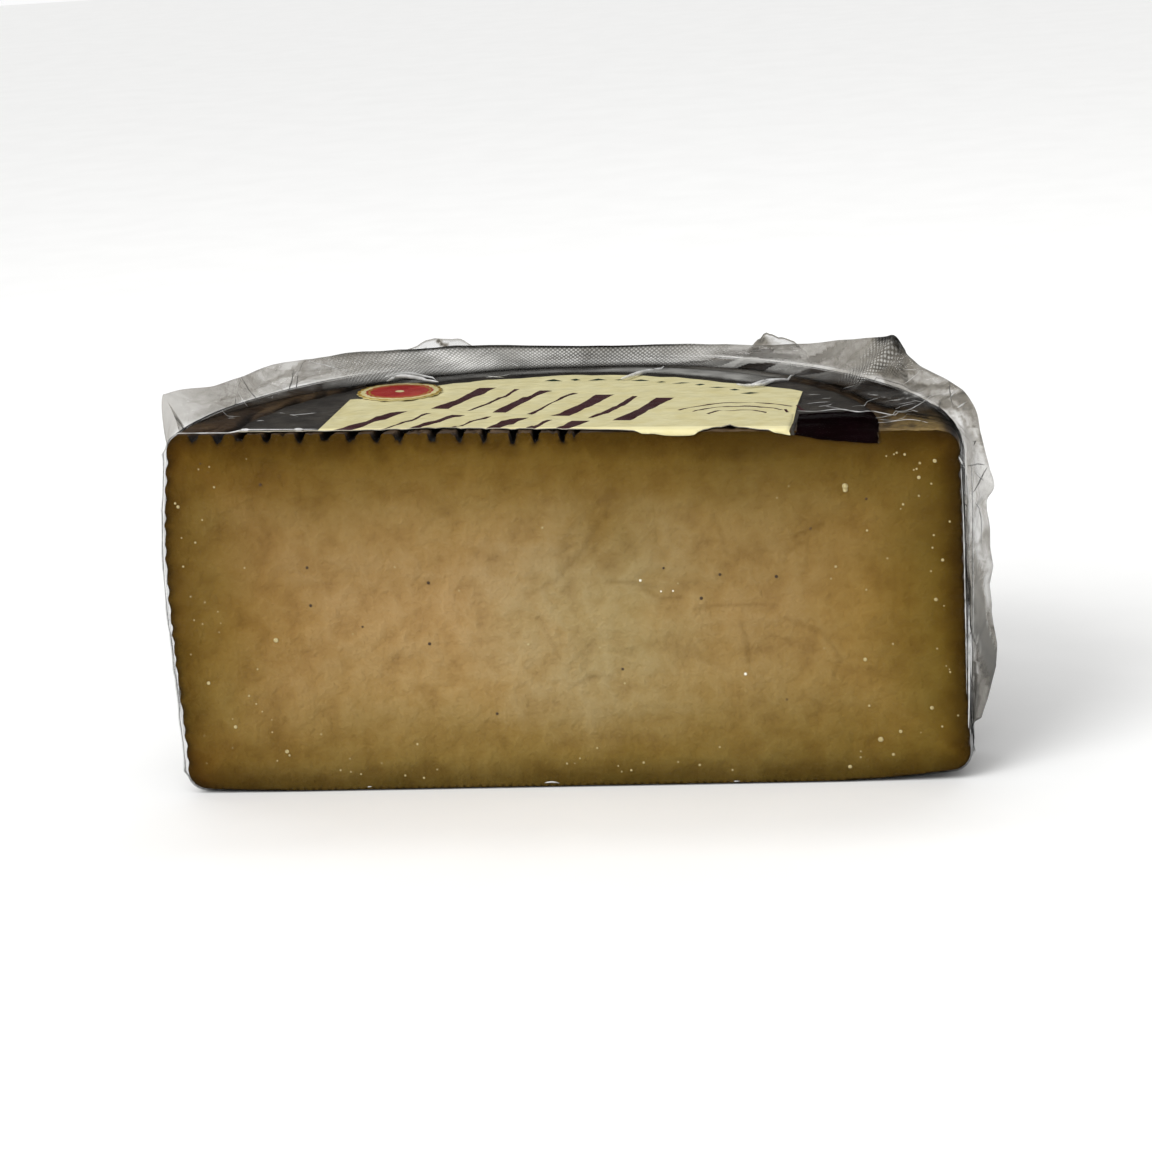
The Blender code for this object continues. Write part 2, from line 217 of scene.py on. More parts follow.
# The print: a cream field with an arched top on a dark ground, and a wine-black field beside
# it where the paper turns down over the cut.
PRINT_FRONT = -9
FIELD_SIDE = 59.3
FIELD_RISE = 39
FIELD_ARCH = 69.5
FIELD_SHOULDER = ((41, 56.1), (56, 49), (FIELD_SIDE, 45))
FLAP = ((60.3, PRINT_FRONT), (60.3, 17), (79, 22.5), (90, 22.5), (90, PRINT_FRONT))
ARC_STEPS = 24

# Rows of slanted brush strokes and small lozenges that stand where a label has its wording.
# Each form of stroke is its width and how far its middle bows to the right.
Strokes = namedtuple("Strokes", "first pitch count foot rise length lean")
STROKE_ROWS = (Strokes(first=-33, pitch=8.2, count=7, foot=27, rise=-2.5, length=27, lean=8),
               Strokes(first=-55, pitch=8.2, count=7, foot=-1, rise=-2.2, length=25, lean=12))
STROKE_FORMS = ((4.6, 0.4), (1.4, 0.8), (3.4, -0.9), (1.4, -0.5), (5, 0.6), (2.2, 1.1))
STROKE_STEPS = 12
LOZENGES = 11
LOZENGE_ARC = 63.5
LOZENGE_TURNS = (98, 44)
LOZENGE_SIZES = ((2.6, 1.3), (1.43, 1.04))
ARCS = ((9, 0.8), (13.5, 0.8), (18, 0.8))
ARC_MIDDLE = (45, 14)
ARC_TURNS = (25, 150)
BAND_STEPS = 20

# The round seal on the label: radii of its rings from the middle outwards, with the number of
# the ink that fills each: red, cream or gold.
SEAL_PLACE = (-47.8, 48)
SEAL_GAP = 0.25
SEAL_THICKNESS = 0.3
SEAL_WAVE = 0.14
SEAL_RINGS = (1.2, 1.9, 7.9, 8.4, 9, 10.4, 11.2)
SEAL_INKS = (1, 0, 0, 2, 0, 1, 2)
SEAL_SIDES = 96
SEAL_SCALLOPS = 24
SEAL_SCALLOP = 0.02

# The film. It lies tight on the cheese, a little off its surface, and stands off as a fold
# where the bag's two sides meet.
SKIN_GAP = 0.45
SKIN_GAP_OVER_LABEL = 1.25
SKIN_GAP_OVER_SEAL = 1.75
SKIN_GAP_AT_CUT = 0.35
SKIN_GAP_AT_FLAP = 1.1
FLAP_FROM = (20, 26)
FLAP_TO = (80, 84)
FLAP_DROP = (-7, -4)
SKIN_LOWEST = 0.03
SKIN_VEIL = 0.001
FILM_IOR = 1.4
# Pleats of the tight film on the side: their heights, and the share of the fine ones' height
# that is left halfway up.
FINE_PLEAT = 0.5
BROAD_PLEAT = 0.35
PLEATS_AMID = 0.35

# The tight film is hazy in an arc before the ridge: how milky by angle round the wheel, and the
# radii where the haze sets in and ends.
HAZE = ((46, 0), (56, 0.65), (80, 0.6), (100, 0.4), (122, 0.3), (138, 0))
HAZE_RADII = (69.5, 72, 84, 88)

# Stations of the fold: angle round the wheel, drop along the surface from the edge of the flat
# top, height, how far it turns from outward (0) to upright (1), how far its front and back feet
# reach over the cheese, how far its facets stand off, its milky veil and its grey shade.
FOLD_STATIONS = (
    (12, 84, 4.5, 0.0, 14, 3, 0.5, 0.2, 0.5),
    (12, 70, 8, 0.0, 17, 4, 0.8, 0.2, 0.72),
    (12, 50, 9, 0.0, 18, 4, 0.8, 0.2, 0.54),
    (12, 34, 8, 0.0, 18, 4, 0.8, 0.22, 0.36),
    (12, 27, 7.3, 0.0, 18, 4, 0.8, 0.15, 0.35),
    (12, 22, 10, 0.0, 18, 4, 0.6, 0.12, 0.32),
    (12, 12, 8, 0.1, 18, 4, 0.6, 0.1, 0.42),
    (17, 2, 7, 0.4, 16, 4, 0.6, 0.05, 0.5),
    (26, -1, 9.4, 0.7, 15, 5, 0.4, 0.04, 0.55),
    (28.5, -1.3, 11, 0.75, 15, 5, 0.3, 0.04, 0.55),
    (30.2, -1.5, 13.6, 0.85, 14, 5, 0.25, 0.06, 0.5),
    (34, -2.2, 12.1, 0.85, 14, 5, 0.25, 0.1, 0.5),
    (50, -6, 7.4, 1.0, 12, 7, 0.2, 0.35, 0.36),
    (65, -10, 5, 1.0, 10, 9, 0.15, 0.48, 0.3),
    (90, -19, 5, 1.0, 8, 12, 0.1, 0.2, 0.5),
    (118, -12, 6, 1.0, 14, 9, 0.15, 0.48, 0.3),
    (143, -3, 8, 1.0, 14, 5, 0.35, 0.18, 0.34),
    (165, 0, 7.5, 1.0, 5, 4, 0.3, 0.05, 0.34),
    (173, 2.6, 9.6, 0.66, 4, 4, 0.1, 0.05, 0.24),
    (173.8, 3.1, 10.1, 0.62, 4, 4, 0.05, 0.05, 0.24),
    (174, 3.6, 9.4, 0.6, 4, 4, 0.05, 0.05, 0.24),
    (175.2, 7.5, 4.9, 0.6, 4, 4, 0.1, 0.05, 0.26),
    (175.5, 11, 1.2, 0.3, 5, 4, 0.2, 0.06, 0.3),
    (175.5, 20, 0.9, 0.0, 5, 4, 0.2, 0.06, 0.3),
    (175.5, 50, 1.0, 0.0, 5, 4, 0.2, 0.1, 0.4),
    (175.5, 66, 1.9, 0.0, 5, 4, 0.4, 0.15, 0.6),
    (175.5, 84, 2.0, 0.0, 5, 3, 0.4, 0.15, 0.6),
)
FOLD_STEP = 0.55
FOLD_CURVE_STEPS = 40
FOLD_FRONT_ROWS = 26
FOLD_BACK_ROWS = 12
FOLD_BASE_ROWS = 4
FOLD_TIP = 0.25
FOLD_FOOT = 0.35
FOLD_SAG = 0.12
FOLD_GAP_WALL = 0.8
FOLD_GAP_TOP = 1.5
FOLD_GAP_CHANGE = (-14, -5)
# The fold's tip is ragged: facets with a length, how far they stand up or down, and their seed.
TIP_RAGGED = ((14, 0.7, 4.5), (5, 0.4, 7.5))
TIP_SWAY_LENGTH = 9

# Corners of the rear film behind the ridge, as places across and up.
PEAKS = (((-58, 97), (-54, 99.8), (-47, 101.9), (-40, 102.4), (-33, 99.9), (-24, 97.5)),
         ((40.6, 94.6), (42.2, 96), (45, 98.6), (46.8, 100.4), (48.6, 99.6), (50.3, 98.4),
          (53.7, 97), (57.5, 94.6)))
PEAK_PLACE = 88
PEAK_FOOT = 90
PEAK_STEP = 0.8
PEAK_ROWS = 14
PEAK_RAGGED = 0.25
PEAK_FACET = 9
PEAK_BOW = 1.6
PEAK_EDGE = 4

# How strong the dimples of the fold are and how long its facets are, by angle round the wheel.
DIMPLES = ((27, 0), (29, 0.9), (33, 0.8), (36, 0), (62, 0.05), (70, 0.5), (78, 1), (124, 1),
           (136, 0.5), (144, 0))
DIMPLE_PITCH = 0.9
FACET_LENGTHS = ((12, 34), (20, 20), (60, 16), (150, 16), (170, 22), (175.5, 26))
# The small facets on the large ones: how much finer and how much fainter they are.
FINER = 2.3
FAINTER = 0.25
# Facets meet in creases, painted bright as highlights or dark as shade by each crease's own
# chance from 0 to 1.
CREASE_WIDTH = 0.8
CREASE_DARK_TO = 0.25
CREASE_BRIGHT_FROM = 0.6
CREASE_GREY = 0.4
CREASE_GLEAM = 0.45
CREST_GREY = 0.6

# What the film's points carry: its milky veil, its grey shade, its bright gleam, which is a
# painted highlight, how strongly it is dimpled, and the place along and up the fold in
# millimetres.
FILM_VALUES = ("veil", "shade", "gleam", "dimpled", "run", "up")

# Sharp creases of the film with their widths, the bright ones painted as highlights and the dark
# ones as shade. Those seen from above are (across, back), and those seen from the front are
# (across, up).
BRIGHT_CREASES_ABOVE = (
    (((59.8, 17.9), (64.8, 17.1), (70.1, 19.5), (75.3, 16.1), (79.2, 19.2), (84.2, 15.8),
      (88.9, 18.9)), 0.35),
    (((79.6, 10.7), (83, 15.4), (88, 19.6), (93.5, 28.7)), 0.25),
    (((80.4, 5.8), (87.8, 10.4), (93, 6)), 0.25),
    (((41.4, 52.1), (45.2, 49.8), (49.1, 55.5), (52.7, 57.5), (56.6, 60.3)), 1.3),
    (((43.5, 51.3), (48, 51), (51, 56.5), (54.5, 58.8)), 1),
    (((9.9, 60), (12.4, 65.3), (16, 71), (20.3, 75)), 1.2),
    (((62.3, 78), (68.7, 73.2), (74.8, 66.2), (81.1, 57.5), (89.5, 42.9), (95.7, 25.2)), 0.3),
    (((-77.9, 55.3), (-70, 57.6), (-61.5, 59.6)), 0.25),
    (((-53.2, 57), (-50.5, 60.6), (-44.9, 60.4), (-38.6, 57.4)), 1.2),
    (((-54, 59.5), (-48, 63), (-40, 61)), 0.9),
    (((-96.6, -0.1), (-90, -0.1), (-84, -0.1), (-76, -0.1), (-68, -0.1), (-58, -0.1)), 0.4),
    (((-79, -0.1), (-77, -0.1), (-75.5, -0.1)), 0.9),
    (((-65, -0.1), (-63.2, -0.1), (-61.5, -0.1)), 0.9),
)
DARK_CREASES_ABOVE = (
    (((-90.6, 70), (-84, 62), (-77.3, 53.1)), 0.4),
    (((-86.6, 72), (-81, 63), (-76.8, 55.2)), 0.4),
    (((-91.8, 36.7), (-86, 34.5), (-80.9, 31.4)), 0.3),
    (((-99, 52), (-93, 42), (-88.6, 34)), 0.3),
)
DARK_CREASES_FRONT = (
    (((99.8, 84), (101.6, 82.6), (103.6, 82.1), (101, 78.7)), 0.5),
    (((101, 78.7), (103.4, 77), (106.3, 75)), 0.4),
    (((106.3, 74.6), (104, 71.8), (101.8, 70)), 0.4),
    (((98.2, 97), (97.4, 93.4), (98.9, 88)), 0.35),
    (((100.4, 73.2), (101.3, 72.8), (102.4, 73)), 0.5),
    (((100, 37.8), (100.8, 37.4), (101.7, 37.9)), 0.5),
    (((99.4, 24.7), (100, 25), (100.8, 24.9)), 0.5),
    (((99.9, 47), (100.4, 46.6), (101, 46.9)), 0.4),
)
BRIGHT_CREASES_FRONT = (
    (((91, 98.6), (93, 99.9), (95.4, 101.4)), 0.6),
    (((97.6, 89.4), (100.4, 90), (103.6, 91.4)), 0.6),
    (((97.4, 91.6), (99.8, 93.6), (101.4, 95.6)), 0.4),
    (((103.1, 76), (104.2, 73.6), (105.8, 70.9)), 0.5),
    (((99.8, 83), (100.9, 80.4), (101.6, 77.3)), 0.45),
    (((103.2, 68), (104.4, 62), (104.1, 55)), 0.4),
    (((101.2, 80), (101.5, 72), (101.5, 65), (101.2, 51), (100.9, 40)), 0.9),
    (((101, 45), (100.8, 37), (100.5, 28), (100.2, 20), (99.8, 13)), 0.6),
    (((102.6, 78), (102.5, 65), (102, 51), (101.6, 38), (101, 25), (100.4, 14)), 0.6),
    (((100.3, 80), (100.4, 66), (100.2, 51), (100, 37), (99.7, 22)), 0.3),
    (((-54.5, 1.1), (-53.8, 1.1), (-53, 1.1)), 0.35),
    (((-8, 1.3), (-6, 1.5), (-3.5, 1)), 0.5),
    (((40.5, 0.8), (41.5, 0.8), (42.8, 0.8)), 0.4),
)
# Short streaks of painted highlight where the film is drawn over the bare rind: number,
# (low across, low back), (high across, high back).
STREAK_ZONES = ((13, (60, 20), (88, 48)), (4, (80, 8), (90, 20)), (7, (-92, 6), (-70, 34)),
                (8, (-80, 62), (-20, 80)))
STREAK_LENGTHS = (5, 15)
STREAK_LEANS = (-0.5, 0.6)
STREAK_BOW = 0.8
STREAK_WIDTHS = (0.1, 0.2)
STREAK_SEED = 4
# How creases are laid on the film: a jump this long breaks the line, each ends in a tip of this
# share of its width, and rays towards the film start this far out.
LAID_JUMP = 4
LAID_TIP = 0.15
LAID_SIDES = 6
OUTSIDE = 200


def colour(code):
    """An sRGB hex colour as linear red, green and blue, and 1."""
    parts = [int(code[place:place + 2], 16) / 255 for place in (1, 3, 5)]
    linear = [part / 12.92 if part <= 0.04045 else ((part + 0.055) / 1.055) ** 2.4
              for part in parts]
    return (*linear, 1)


def add(tree, kind, inputs=(), stops=(), **settings):
    """Add a node: its own settings, its sockets by name or number, and a ramp's stops."""
    item = tree.nodes.new(kind)
    for name, value in settings.items():
        setattr(item, name, value)
    for key, value in dict(inputs).items():
        if isinstance(value, bpy.types.NodeSocket):
            tree.links.new(value, item.inputs[key])
        else:
            item.inputs[key].default_value = value
    if stops:
        ramp = item.color_ramp
        while len(ramp.elements) < len(stops):
            ramp.elements.new(1)
        for element, (position, code) in zip(ramp.elements, stops):
            element.position = position
            element.color = colour(code)
    return item


def mapping(tree, vector, scale, **more):
    """A vector that is scaled, and turned or moved."""
    return add(tree, "ShaderNodeMapping", {"Vector": vector, "Scale": scale, **more}).outputs[0]


def start_material(name):
    """A new material, its node tree and the place on the piece in millimetres."""
    material = bpy.data.materials.new(name)
    material.use_nodes = True
    tree = material.node_tree
    tree.nodes.clear()
    local = add(tree, "ShaderNodeTexCoord").outputs["Object"]
    return material, tree, mapping(tree, local, (1 / MM, 1 / MM, 1 / MM), Location=-ORIGIN / MM)


def smooth(low, high, value):
    """0 below low, 1 above high and a smooth step between them."""
    share = min(1, max(0, (value - low) / (high - low)))
    return share * share * (3 - 2 * share)


def between(first, second, share):
    return first + (second - first) * share


def read_along(stations, place):
    """A smooth value read along stations of (place, value)."""
    if place <= stations[0][0]:
        return stations[0][1]
    for (low, first), (high, second) in zip(stations, stations[1:]):
        if place <= high:
            return between(first, second, smooth(low, high, place))
    return stations[-1][1]


def bell(away, reach):
    """1 at no distance, fading to 0 beyond the reach."""
    return math.exp(-(away / reach) ** 2)


def drift(x, y, z):
    """Smooth noise, from about -1 to 1."""
    return noise.noise(Vector((x, y, z)))


def on_circle(radius, angle):
    return radius * math.cos(angle), radius * math.sin(angle)


def bridge(first, second, closed=True):
    """Four-sided faces between two rows with the same count of point numbers."""
    if closed:
        first, second = [*first, first[0]], [*second, second[0]]
    return [(first[step], first[step + 1], second[step + 1], second[step])
            for step in range(len(first) - 1)]


def tube(rings):
    """The faces of a closed tube through rings of point numbers."""
    faces = [face for here, there in zip(rings, rings[1:]) for face in bridge(here, there)]
    return faces + [tuple(rings[0])[::-1], tuple(rings[-1])]


def search_tree(places):
    tree = kdtree.KDTree(len(places))
    for number, place in enumerate(places):
        tree.insert(place, number)
    tree.balance()
    return tree


def put(name, data):
    """A new object in the scene."""
    item = bpy.data.objects.new(name, data)
    bpy.context.scene.collection.objects.link(item)
    return item


def make_piece(name, points, faces, materials, marks=(), values=(), replaced=None):
    """A mesh object riding on the body, from points in millimetres."""
    mesh = bpy.data.meshes.new(name)
    mesh.from_pydata([point * MM + ORIGIN for point in points], [], faces)
    for material in materials:
        mesh.materials.append(material)
    if marks:
        mesh.polygons.foreach_set("material_index", marks)
    for label, numbers in dict(values).items():
        mesh.attributes.new(label, "FLOAT", "POINT").data.foreach_set("value", numbers)
    builder = bmesh.new()
    builder.from_mesh(mesh)
    bmesh.ops.recalc_face_normals(builder, faces=builder.faces[:])
    builder.to_mesh(mesh)
    builder.free()
    mesh.shade_smooth()
    piece = put(name, mesh)
    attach(piece, "root")
    if replaced:
        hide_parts(replaced)
    return piece


# The shape of the half wheel

def top_height(x):
    return WHEEL_HEIGHT - TOP_FALL * x


def wall_point(angle, height, inset):
    """A point of the wheel's outline at a height, moved in from the wall by inset."""
    share = height / WHEEL_HEIGHT
    bulge = math.sin(math.pi * min(1, max(0, share)) ** BULGE_RISE)
    high_side = (WHEEL_RADIUS + HIGH_SIDE_SPREAD - HIGH_SIDE_LEAN * share
                 + HIGH_SIDE_BULGE * bulge)
    towards_high_side = (1 - math.cos(angle)) / 2
    across = between(WHEEL_RADIUS, high_side, towards_high_side) - inset
    back = WHEEL_DEPTH - inset
    return across * math.cos(angle), back * max(0, round(math.sin(angle), 9))


def base_lift(angle):
    return BASE_CROWN * (1 + BASE_CROWN_SKEW * math.cos(angle))


def crown_share(x, y):
    """How far out on the crowned base a place is: 0 on its flat middle, 1 at its rim."""
    rim_x, rim_y = wall_point(math.atan2(max(0, y), x), 0, BASE_ROUND)
    reach = math.hypot(x, y) / math.hypot(rim_x, rim_y)
    return max(0, (reach - BASE_FLAT_SHARE) / (1 - BASE_FLAT_SHARE))


def base_height(x, y):
    return base_lift(math.atan2(y, x)) * crown_share(x, y) ** 2


def zigzag(turns):
    """A triangle wave: 0, 1, 0, -1 at each quarter."""
    quarter = turns % 1 * 4
    if quarter < 1:
        return quarter
    return 2 - quarter if quarter < 3 else quarter - 4


def rib_inset(angle, share):
    """How far the side lies in from its ribs, at a share of the way up."""
    fade = min(1, share / RIB_FADE, (1 - share) / RIB_FADE)
    pitch = (WHEEL_HEIGHT - TOP_ROUND - BASE_ROUND) / RIB_COUNT
    sway = zigzag(angle / ZIGZAG_TURN) * ZIGZAG_REACH * fade
    wander = RIB_WANDER * drift(angle * 6, share * 5, 3)
    turns = share * RIB_COUNT - sway / pitch + wander * fade
    groove = (0.5 - 0.5 * math.cos(math.tau * turns)) ** RIB_SHARPNESS
    near_cut = smooth(*RIB_WORN_LEFT, angle) + smooth(*RIB_WORN_RIGHT, -angle)
    worn = RIB_EVEN + RIB_UNEVEN * drift(angle * 9, share * 7, 8)
    worn *= 1 - RIB_WORN_AT_CUT * near_cut
    along = angle * WHEEL_RADIUS / STRAND_PITCH
    strands = 0.5 + 0.5 * math.cos(math.tau * (along + turns * STRAND_SLANT))
    return RIB_DEPTH * worn * groove + STRAND_DEPTH * strands * (1 - groove) * fade


def groove_strengths():
    """How strongly each groove of the top is pressed in, by its number from the middle."""
    uneven = random.Random(GROOVE_SEED)
    count = int(WHEEL_RADIUS / GROOVE_PITCH)
    strengths = {}
    for index in range(-count, count + 1):
        strengths[index] = uneven.uniform(*GROOVE_UNEVEN)
        if index * GROOVE_PITCH > GROOVE_PRESSED_FROM:
            strengths[index] *= GROOVE_PRESSED
    return strengths


GROOVES = groove_strengths()


def groove_depth(x, y):
    """How deep the top's groove is at this place."""
    sway = GROOVE_SWAY * zigzag(y / GROOVE_STEP / 4)
    near_cut = 1 - smooth(0, GROOVE_CUT_ZONE, y)
    open_side = 1 - smooth(GROOVE_PRESSED_FROM, GROOVE_PRESSED_WHOLLY, x)
    width = between(GROOVE_WIDTH, read_along(MOUTH_WIDTHS, x), near_cut)
    roundness = between(GROOVE_ROUNDNESS, MOUTH_ROUNDNESS, near_cut)
    nearest = round((x - sway) / GROOVE_PITCH)
    shape = 0
    for number in (nearest - 1, nearest, nearest + 1):
        middle = number * GROOVE_PITCH + GROOVE_SHIFTS.get(number, 0) * near_cut
        side = (x - sway - middle) / (width / 2) + GROOVE_LEAN * near_cut
        reach = 1 + math.copysign(GROOVE_LEAN * near_cut, side)
        strength = GROOVES.get(number, 0) * (1 - near_cut * (1 - open_side))
        strength = max(strength, MOUTH_STRENGTH * near_cut * open_side)
        shape = max(shape, strength * (1 - abs(side / reach) ** roundness))
    ragged = noise.fractal(Vector((x / 1.4, y / 5, 3)), 0.7, 2, 3)
    torn = GROOVE_TORN * near_cut * open_side * ragged
    deep = between(GROOVE_DEPTH, read_along(MOUTH_DEPTHS, x), near_cut)
    across = WHEEL_RADIUS - TOP_ROUND
    if x < 0:
        across += HIGH_SIDE_SPREAD - HIGH_SIDE_LEAN
    rim = math.hypot(x / across, y / (WHEEL_DEPTH - TOP_ROUND))
    first, last = (between(far, near, near_cut) for far, near in zip(GROOVE_RIM, MOUTH_RIM))
    return max(0, shape * deep + torn) * (1 - smooth(first, last, rim))


def profile(angle, gap, rows, relief):
    """Points up the wheel at one angle, off its surface by gap: base edge, side and top edge."""
    foot = base_lift(angle) + BASE_ROUND
    head = top_height(WHEEL_RADIUS * math.cos(angle)) - TOP_ROUND
    points = []
    for step in range(ROUND_STEPS):
        turn = math.pi / 2 * step / ROUND_STEPS
        height = foot - (BASE_ROUND + gap) * math.cos(turn)
        inset = BASE_ROUND - (BASE_ROUND + gap) * math.sin(turn)
        points.append(Vector((*wall_point(angle, height, inset), height)))
    for row in range(rows + 1):
        share = row / rows
        height = between(foot, head, share)
        inset = relief(angle, share) - gap
        points.append(Vector((*wall_point(angle, height, inset), height)))
    for step in range(1, ROUND_STEPS + 1):
        turn = math.pi / 2 * step / ROUND_STEPS
        x, y = wall_point(angle, head, TOP_ROUND - (TOP_ROUND + gap) * math.cos(turn))
        height = head + (TOP_ROUND + gap) * math.sin(turn)
        points.append(Vector((x, y, top_height(x) + gap if step == ROUND_STEPS else height)))
    return points


def spread(low, high, spacing):
    """Places in a rectangle, in rows that stand half a spacing from each other."""
    places = []
    y, row = low[1] + spacing / 2, 0
    while y < high[1]:
        x = low[0] + spacing * (0.5 if row % 2 else 1)
        while x < high[0]:
            places.append((x, y))
            x += spacing
        y += spacing * 0.87
        row += 1
    return places


def fill(points, faces, loop, inner, flat, lift, clear, lines=(), keep=None):
    """Close a loop of point numbers with triangles over inner places of a flat layout.

    Inner places closer to the loop than clear are left out, and lines are closed outlines
    that the triangles' edges follow. Lines may run out of the loop, if keep tells which
    triangles stay by their middle.
    """
    layout = [Vector(flat(points[number])) for number in loop]
    edges = [(number, (number + 1) % len(loop)) for number in range(len(loop))]
    for line in lines:
        start = len(layout)
        layout += [Vector(place) for place in line]
        edges += [(start + step, start + (step + 1) % len(line)) for step in range(len(line))]
    near = search_tree([place.to_3d() for place in layout])
    layout += [Vector(place) for place in inner if near.find((*place, 0))[2] > clear]
    found, _, triangles, origins, _, _ = delaunay_2d_cdt(layout, edges, [], 1, 1e-5)
    if keep:
        triangles = [triangle for triangle in triangles
                     if keep(*(sum((found[corner] for corner in triangle), Vector((0, 0))) / 3))]
    owner = {}
    for corner in sorted({corner for triangle in triangles for corner in triangle}):
        known = [origin for origin in origins[corner] if origin < len(loop)]
        owner[corner] = loop[known[0]] if known else len(points)
        if not known:
            points.append(Vector(lift(*found[corner])))
    faces.extend([owner[corner] for corner in triangle] for triangle in triangles)


def cut_edge(points, first, last, spacing, lift):
    """New points across the cut, between two of its corners."""
    start = len(points)
    right, left = points[first], points[last]
    count = round((right.x - left.x) / spacing)
    for step in range(1, count):
        x = between(right.x, left.x, step / count)
        points.append(Vector((x, right.y, lift(x, right.y))))
    return list(range(start, len(points)))


def half_wheel(fine, gap, relief, cut_shift, top, base, cut):
    """The closed surface of the half wheel, off it by gap, with its surfaces' heights given.

    Returns points, faces, how many faces come before the cut's, and the cut's outline.
    """
    points, faces, columns = [], [], []
    for index in range(fine.columns + 1):
        column = profile(math.pi * index / fine.columns, gap, fine.rows, relief)
        for point in column:
            point.y -= cut_shift * (1 - point.y / WHEEL_DEPTH)
        columns.append(list(range(len(points), len(points) + len(column))))
        points.extend(column)
    for left, right in zip(columns, columns[1:]):
        faces += bridge(left, right, closed=False)
    upper = cut_edge(points, columns[0][-1], columns[-1][-1], fine.edge, top)
    lower = cut_edge(points, columns[0][0], columns[-1][0], fine.base / 2, base)
    side = WHEEL_RADIUS + HIGH_SIDE_SPREAD
    clear = fine.edge * EDGE_CLEAR
    inner = spread((-side, 0), (side, fine.zone), fine.edge * EDGE_ZONE_SPACING)
    inner += spread((-side, fine.zone), (side, WHEEL_DEPTH), fine.top)
    fill(points, faces, [column[-1] for column in columns] + upper[::-1], inner,
         lambda point: point.xy, lambda x, y: (x, y, top(x, y)), clear)
    fill(points, faces, [column[0] for column in columns] + lower[::-1],
         spread((-side, 0), (side, WHEEL_DEPTH), fine.base),
         lambda point: point.xy, lambda x, y: (x, y, base(x, y)), clear)
    before_cut = len(faces)
    loop = columns[0] + upper + columns[-1][::-1] + lower[::-1]
    fill(points, faces, loop, spread((-side, 0), (side, top_height(-side)), fine.cut),
         lambda point: (point.x, point.z), lambda x, z: (x, cut(x, z), z), clear)
    return points, faces, before_cut, [points[number] for number in loop]


# Cheese

def line_distance(x, z, line):
    """Distance in a plane from a place to a line of points."""
    best = math.inf
    for (x1, z1), (x2, z2) in zip(line, line[1:]):
        along = Vector((x2 - x1, z2 - z1))
        share = min(1, max(0, Vector((x - x1, z - z1)).dot(along) / along.length_squared))
        best = min(best, math.hypot(x - x1 - along.x * share, z - z1 - along.y * share))
    return best


def curd_knit(x, z):
    """How deep the lines are, at a place of the cut, where the curd knit together."""
    bend = CURD_LINE_BEND * drift(x / 6, 2, z / 6)
    return sum(strength * bell(line_distance(x + bend, z, line), CURD_LINE_WIDTH)
               for line, strength in CURD_LINES)


def cut_relief(x, z):
    """How far the cut face lies behind its plane: swells, and the curd's lines."""
    swell = noise.fractal(Vector((x / 17, 0, z / 13)), 0.9, 2.1, 3)
    crumble = noise.turbulence(Vector((x / 9, 4, z / 7)), 4, False)
    depth = CURD_SWELL * (swell + 0.35) + CURD_CRUMBLE * crumble + curd_knit(x, z)
    edge = min(PASTE_REACH - abs(x), z - PASTE_RISE[0], top_height(x) - TOP_ROUND - z)
    return max(0, depth) * smooth(0, 8, edge)


def rind_grain(x, y, z):
    return RIND_GRAIN * noise.fractal(Vector((x, y, z)) / 2.6, 0.8, 2, 3)


def rind_hollow(point):
    """How far a point lies in from the rind's crests."""
    wall = math.hypot(*wall_point(math.atan2(point.y, point.x), point.z, 0))
    return max(0, min(wall - math.hypot(point.x, point.y), top_height(point.x) - point.z))


def rim_line_and_shade(x, height, hollow, away):
    """How dark the paste is at a distance from its edge, where the edge has this height.

    It is darker behind a hollow of the rind, where shade is painted, darker at both sides, and
    darker over a wider reach at the right.
    """
    right, left = smooth(88, 97, x), smooth(90, 96, -x)
    crest = RIM_CREST - RIM_CREST_LESS * smooth(80, 86, height) * (1 - smooth(8, 14, x))
    dark = hollow * (0.5 + 0.5 * left)
    strength = max(min(0.85, crest + dark), right, min(0.95, 0.6 * left + dark))
    reach = RIM_REACH + 0.35 * right + 0.5 * left
    return max(strength * bell(away, reach), 0.5 * right * bell(away, RIGHT_DARK_REACH))


def build_cheese(rind, paste):
    """The half wheel, with every groove and rib that its mould left in the rind."""
    points, faces, before_cut, outline = half_wheel(
        CHEESE_FINENESS, 0, rib_inset, 0,
        lambda x, y: top_height(x) - groove_depth(x, y) - rind_grain(x, y, 0),
        lambda x, y: base_height(x, y) + LIFT_FOR_FILM * (1 - crown_share(x, y)),
        cut_relief)
    marks = [0] * before_cut + [1] * (len(faces) - before_cut)
    hollows = [rind_hollow(point) for point in points]
    near = search_tree([Vector((point.x, 0, point.z)) for point in outline])
    depths, rims, knit_shades = ([0.0] * len(points) for _ in range(3))
    for number in {corner for face in faces[before_cut:] for corner in face}:
        x, z = points[number].x, points[number].z
        knit_shades[number] = curd_knit(x, z)
        _, edge, away = near.find(Vector((x, 0, z)))
        hollow = rind_hollow(outline[edge])
        depths[number] = away + (hollow if outline[edge].z > BASE_ROUND else 0)
        rims[number] = rim_line_and_shade(x, outline[edge].z, hollow, away)
    return make_piece("cheese_half", points, faces, (rind, paste), marks,
                      {"depth": depths, "rim": rims, "knit": knit_shades, "hollow": hollows}, "cheese")


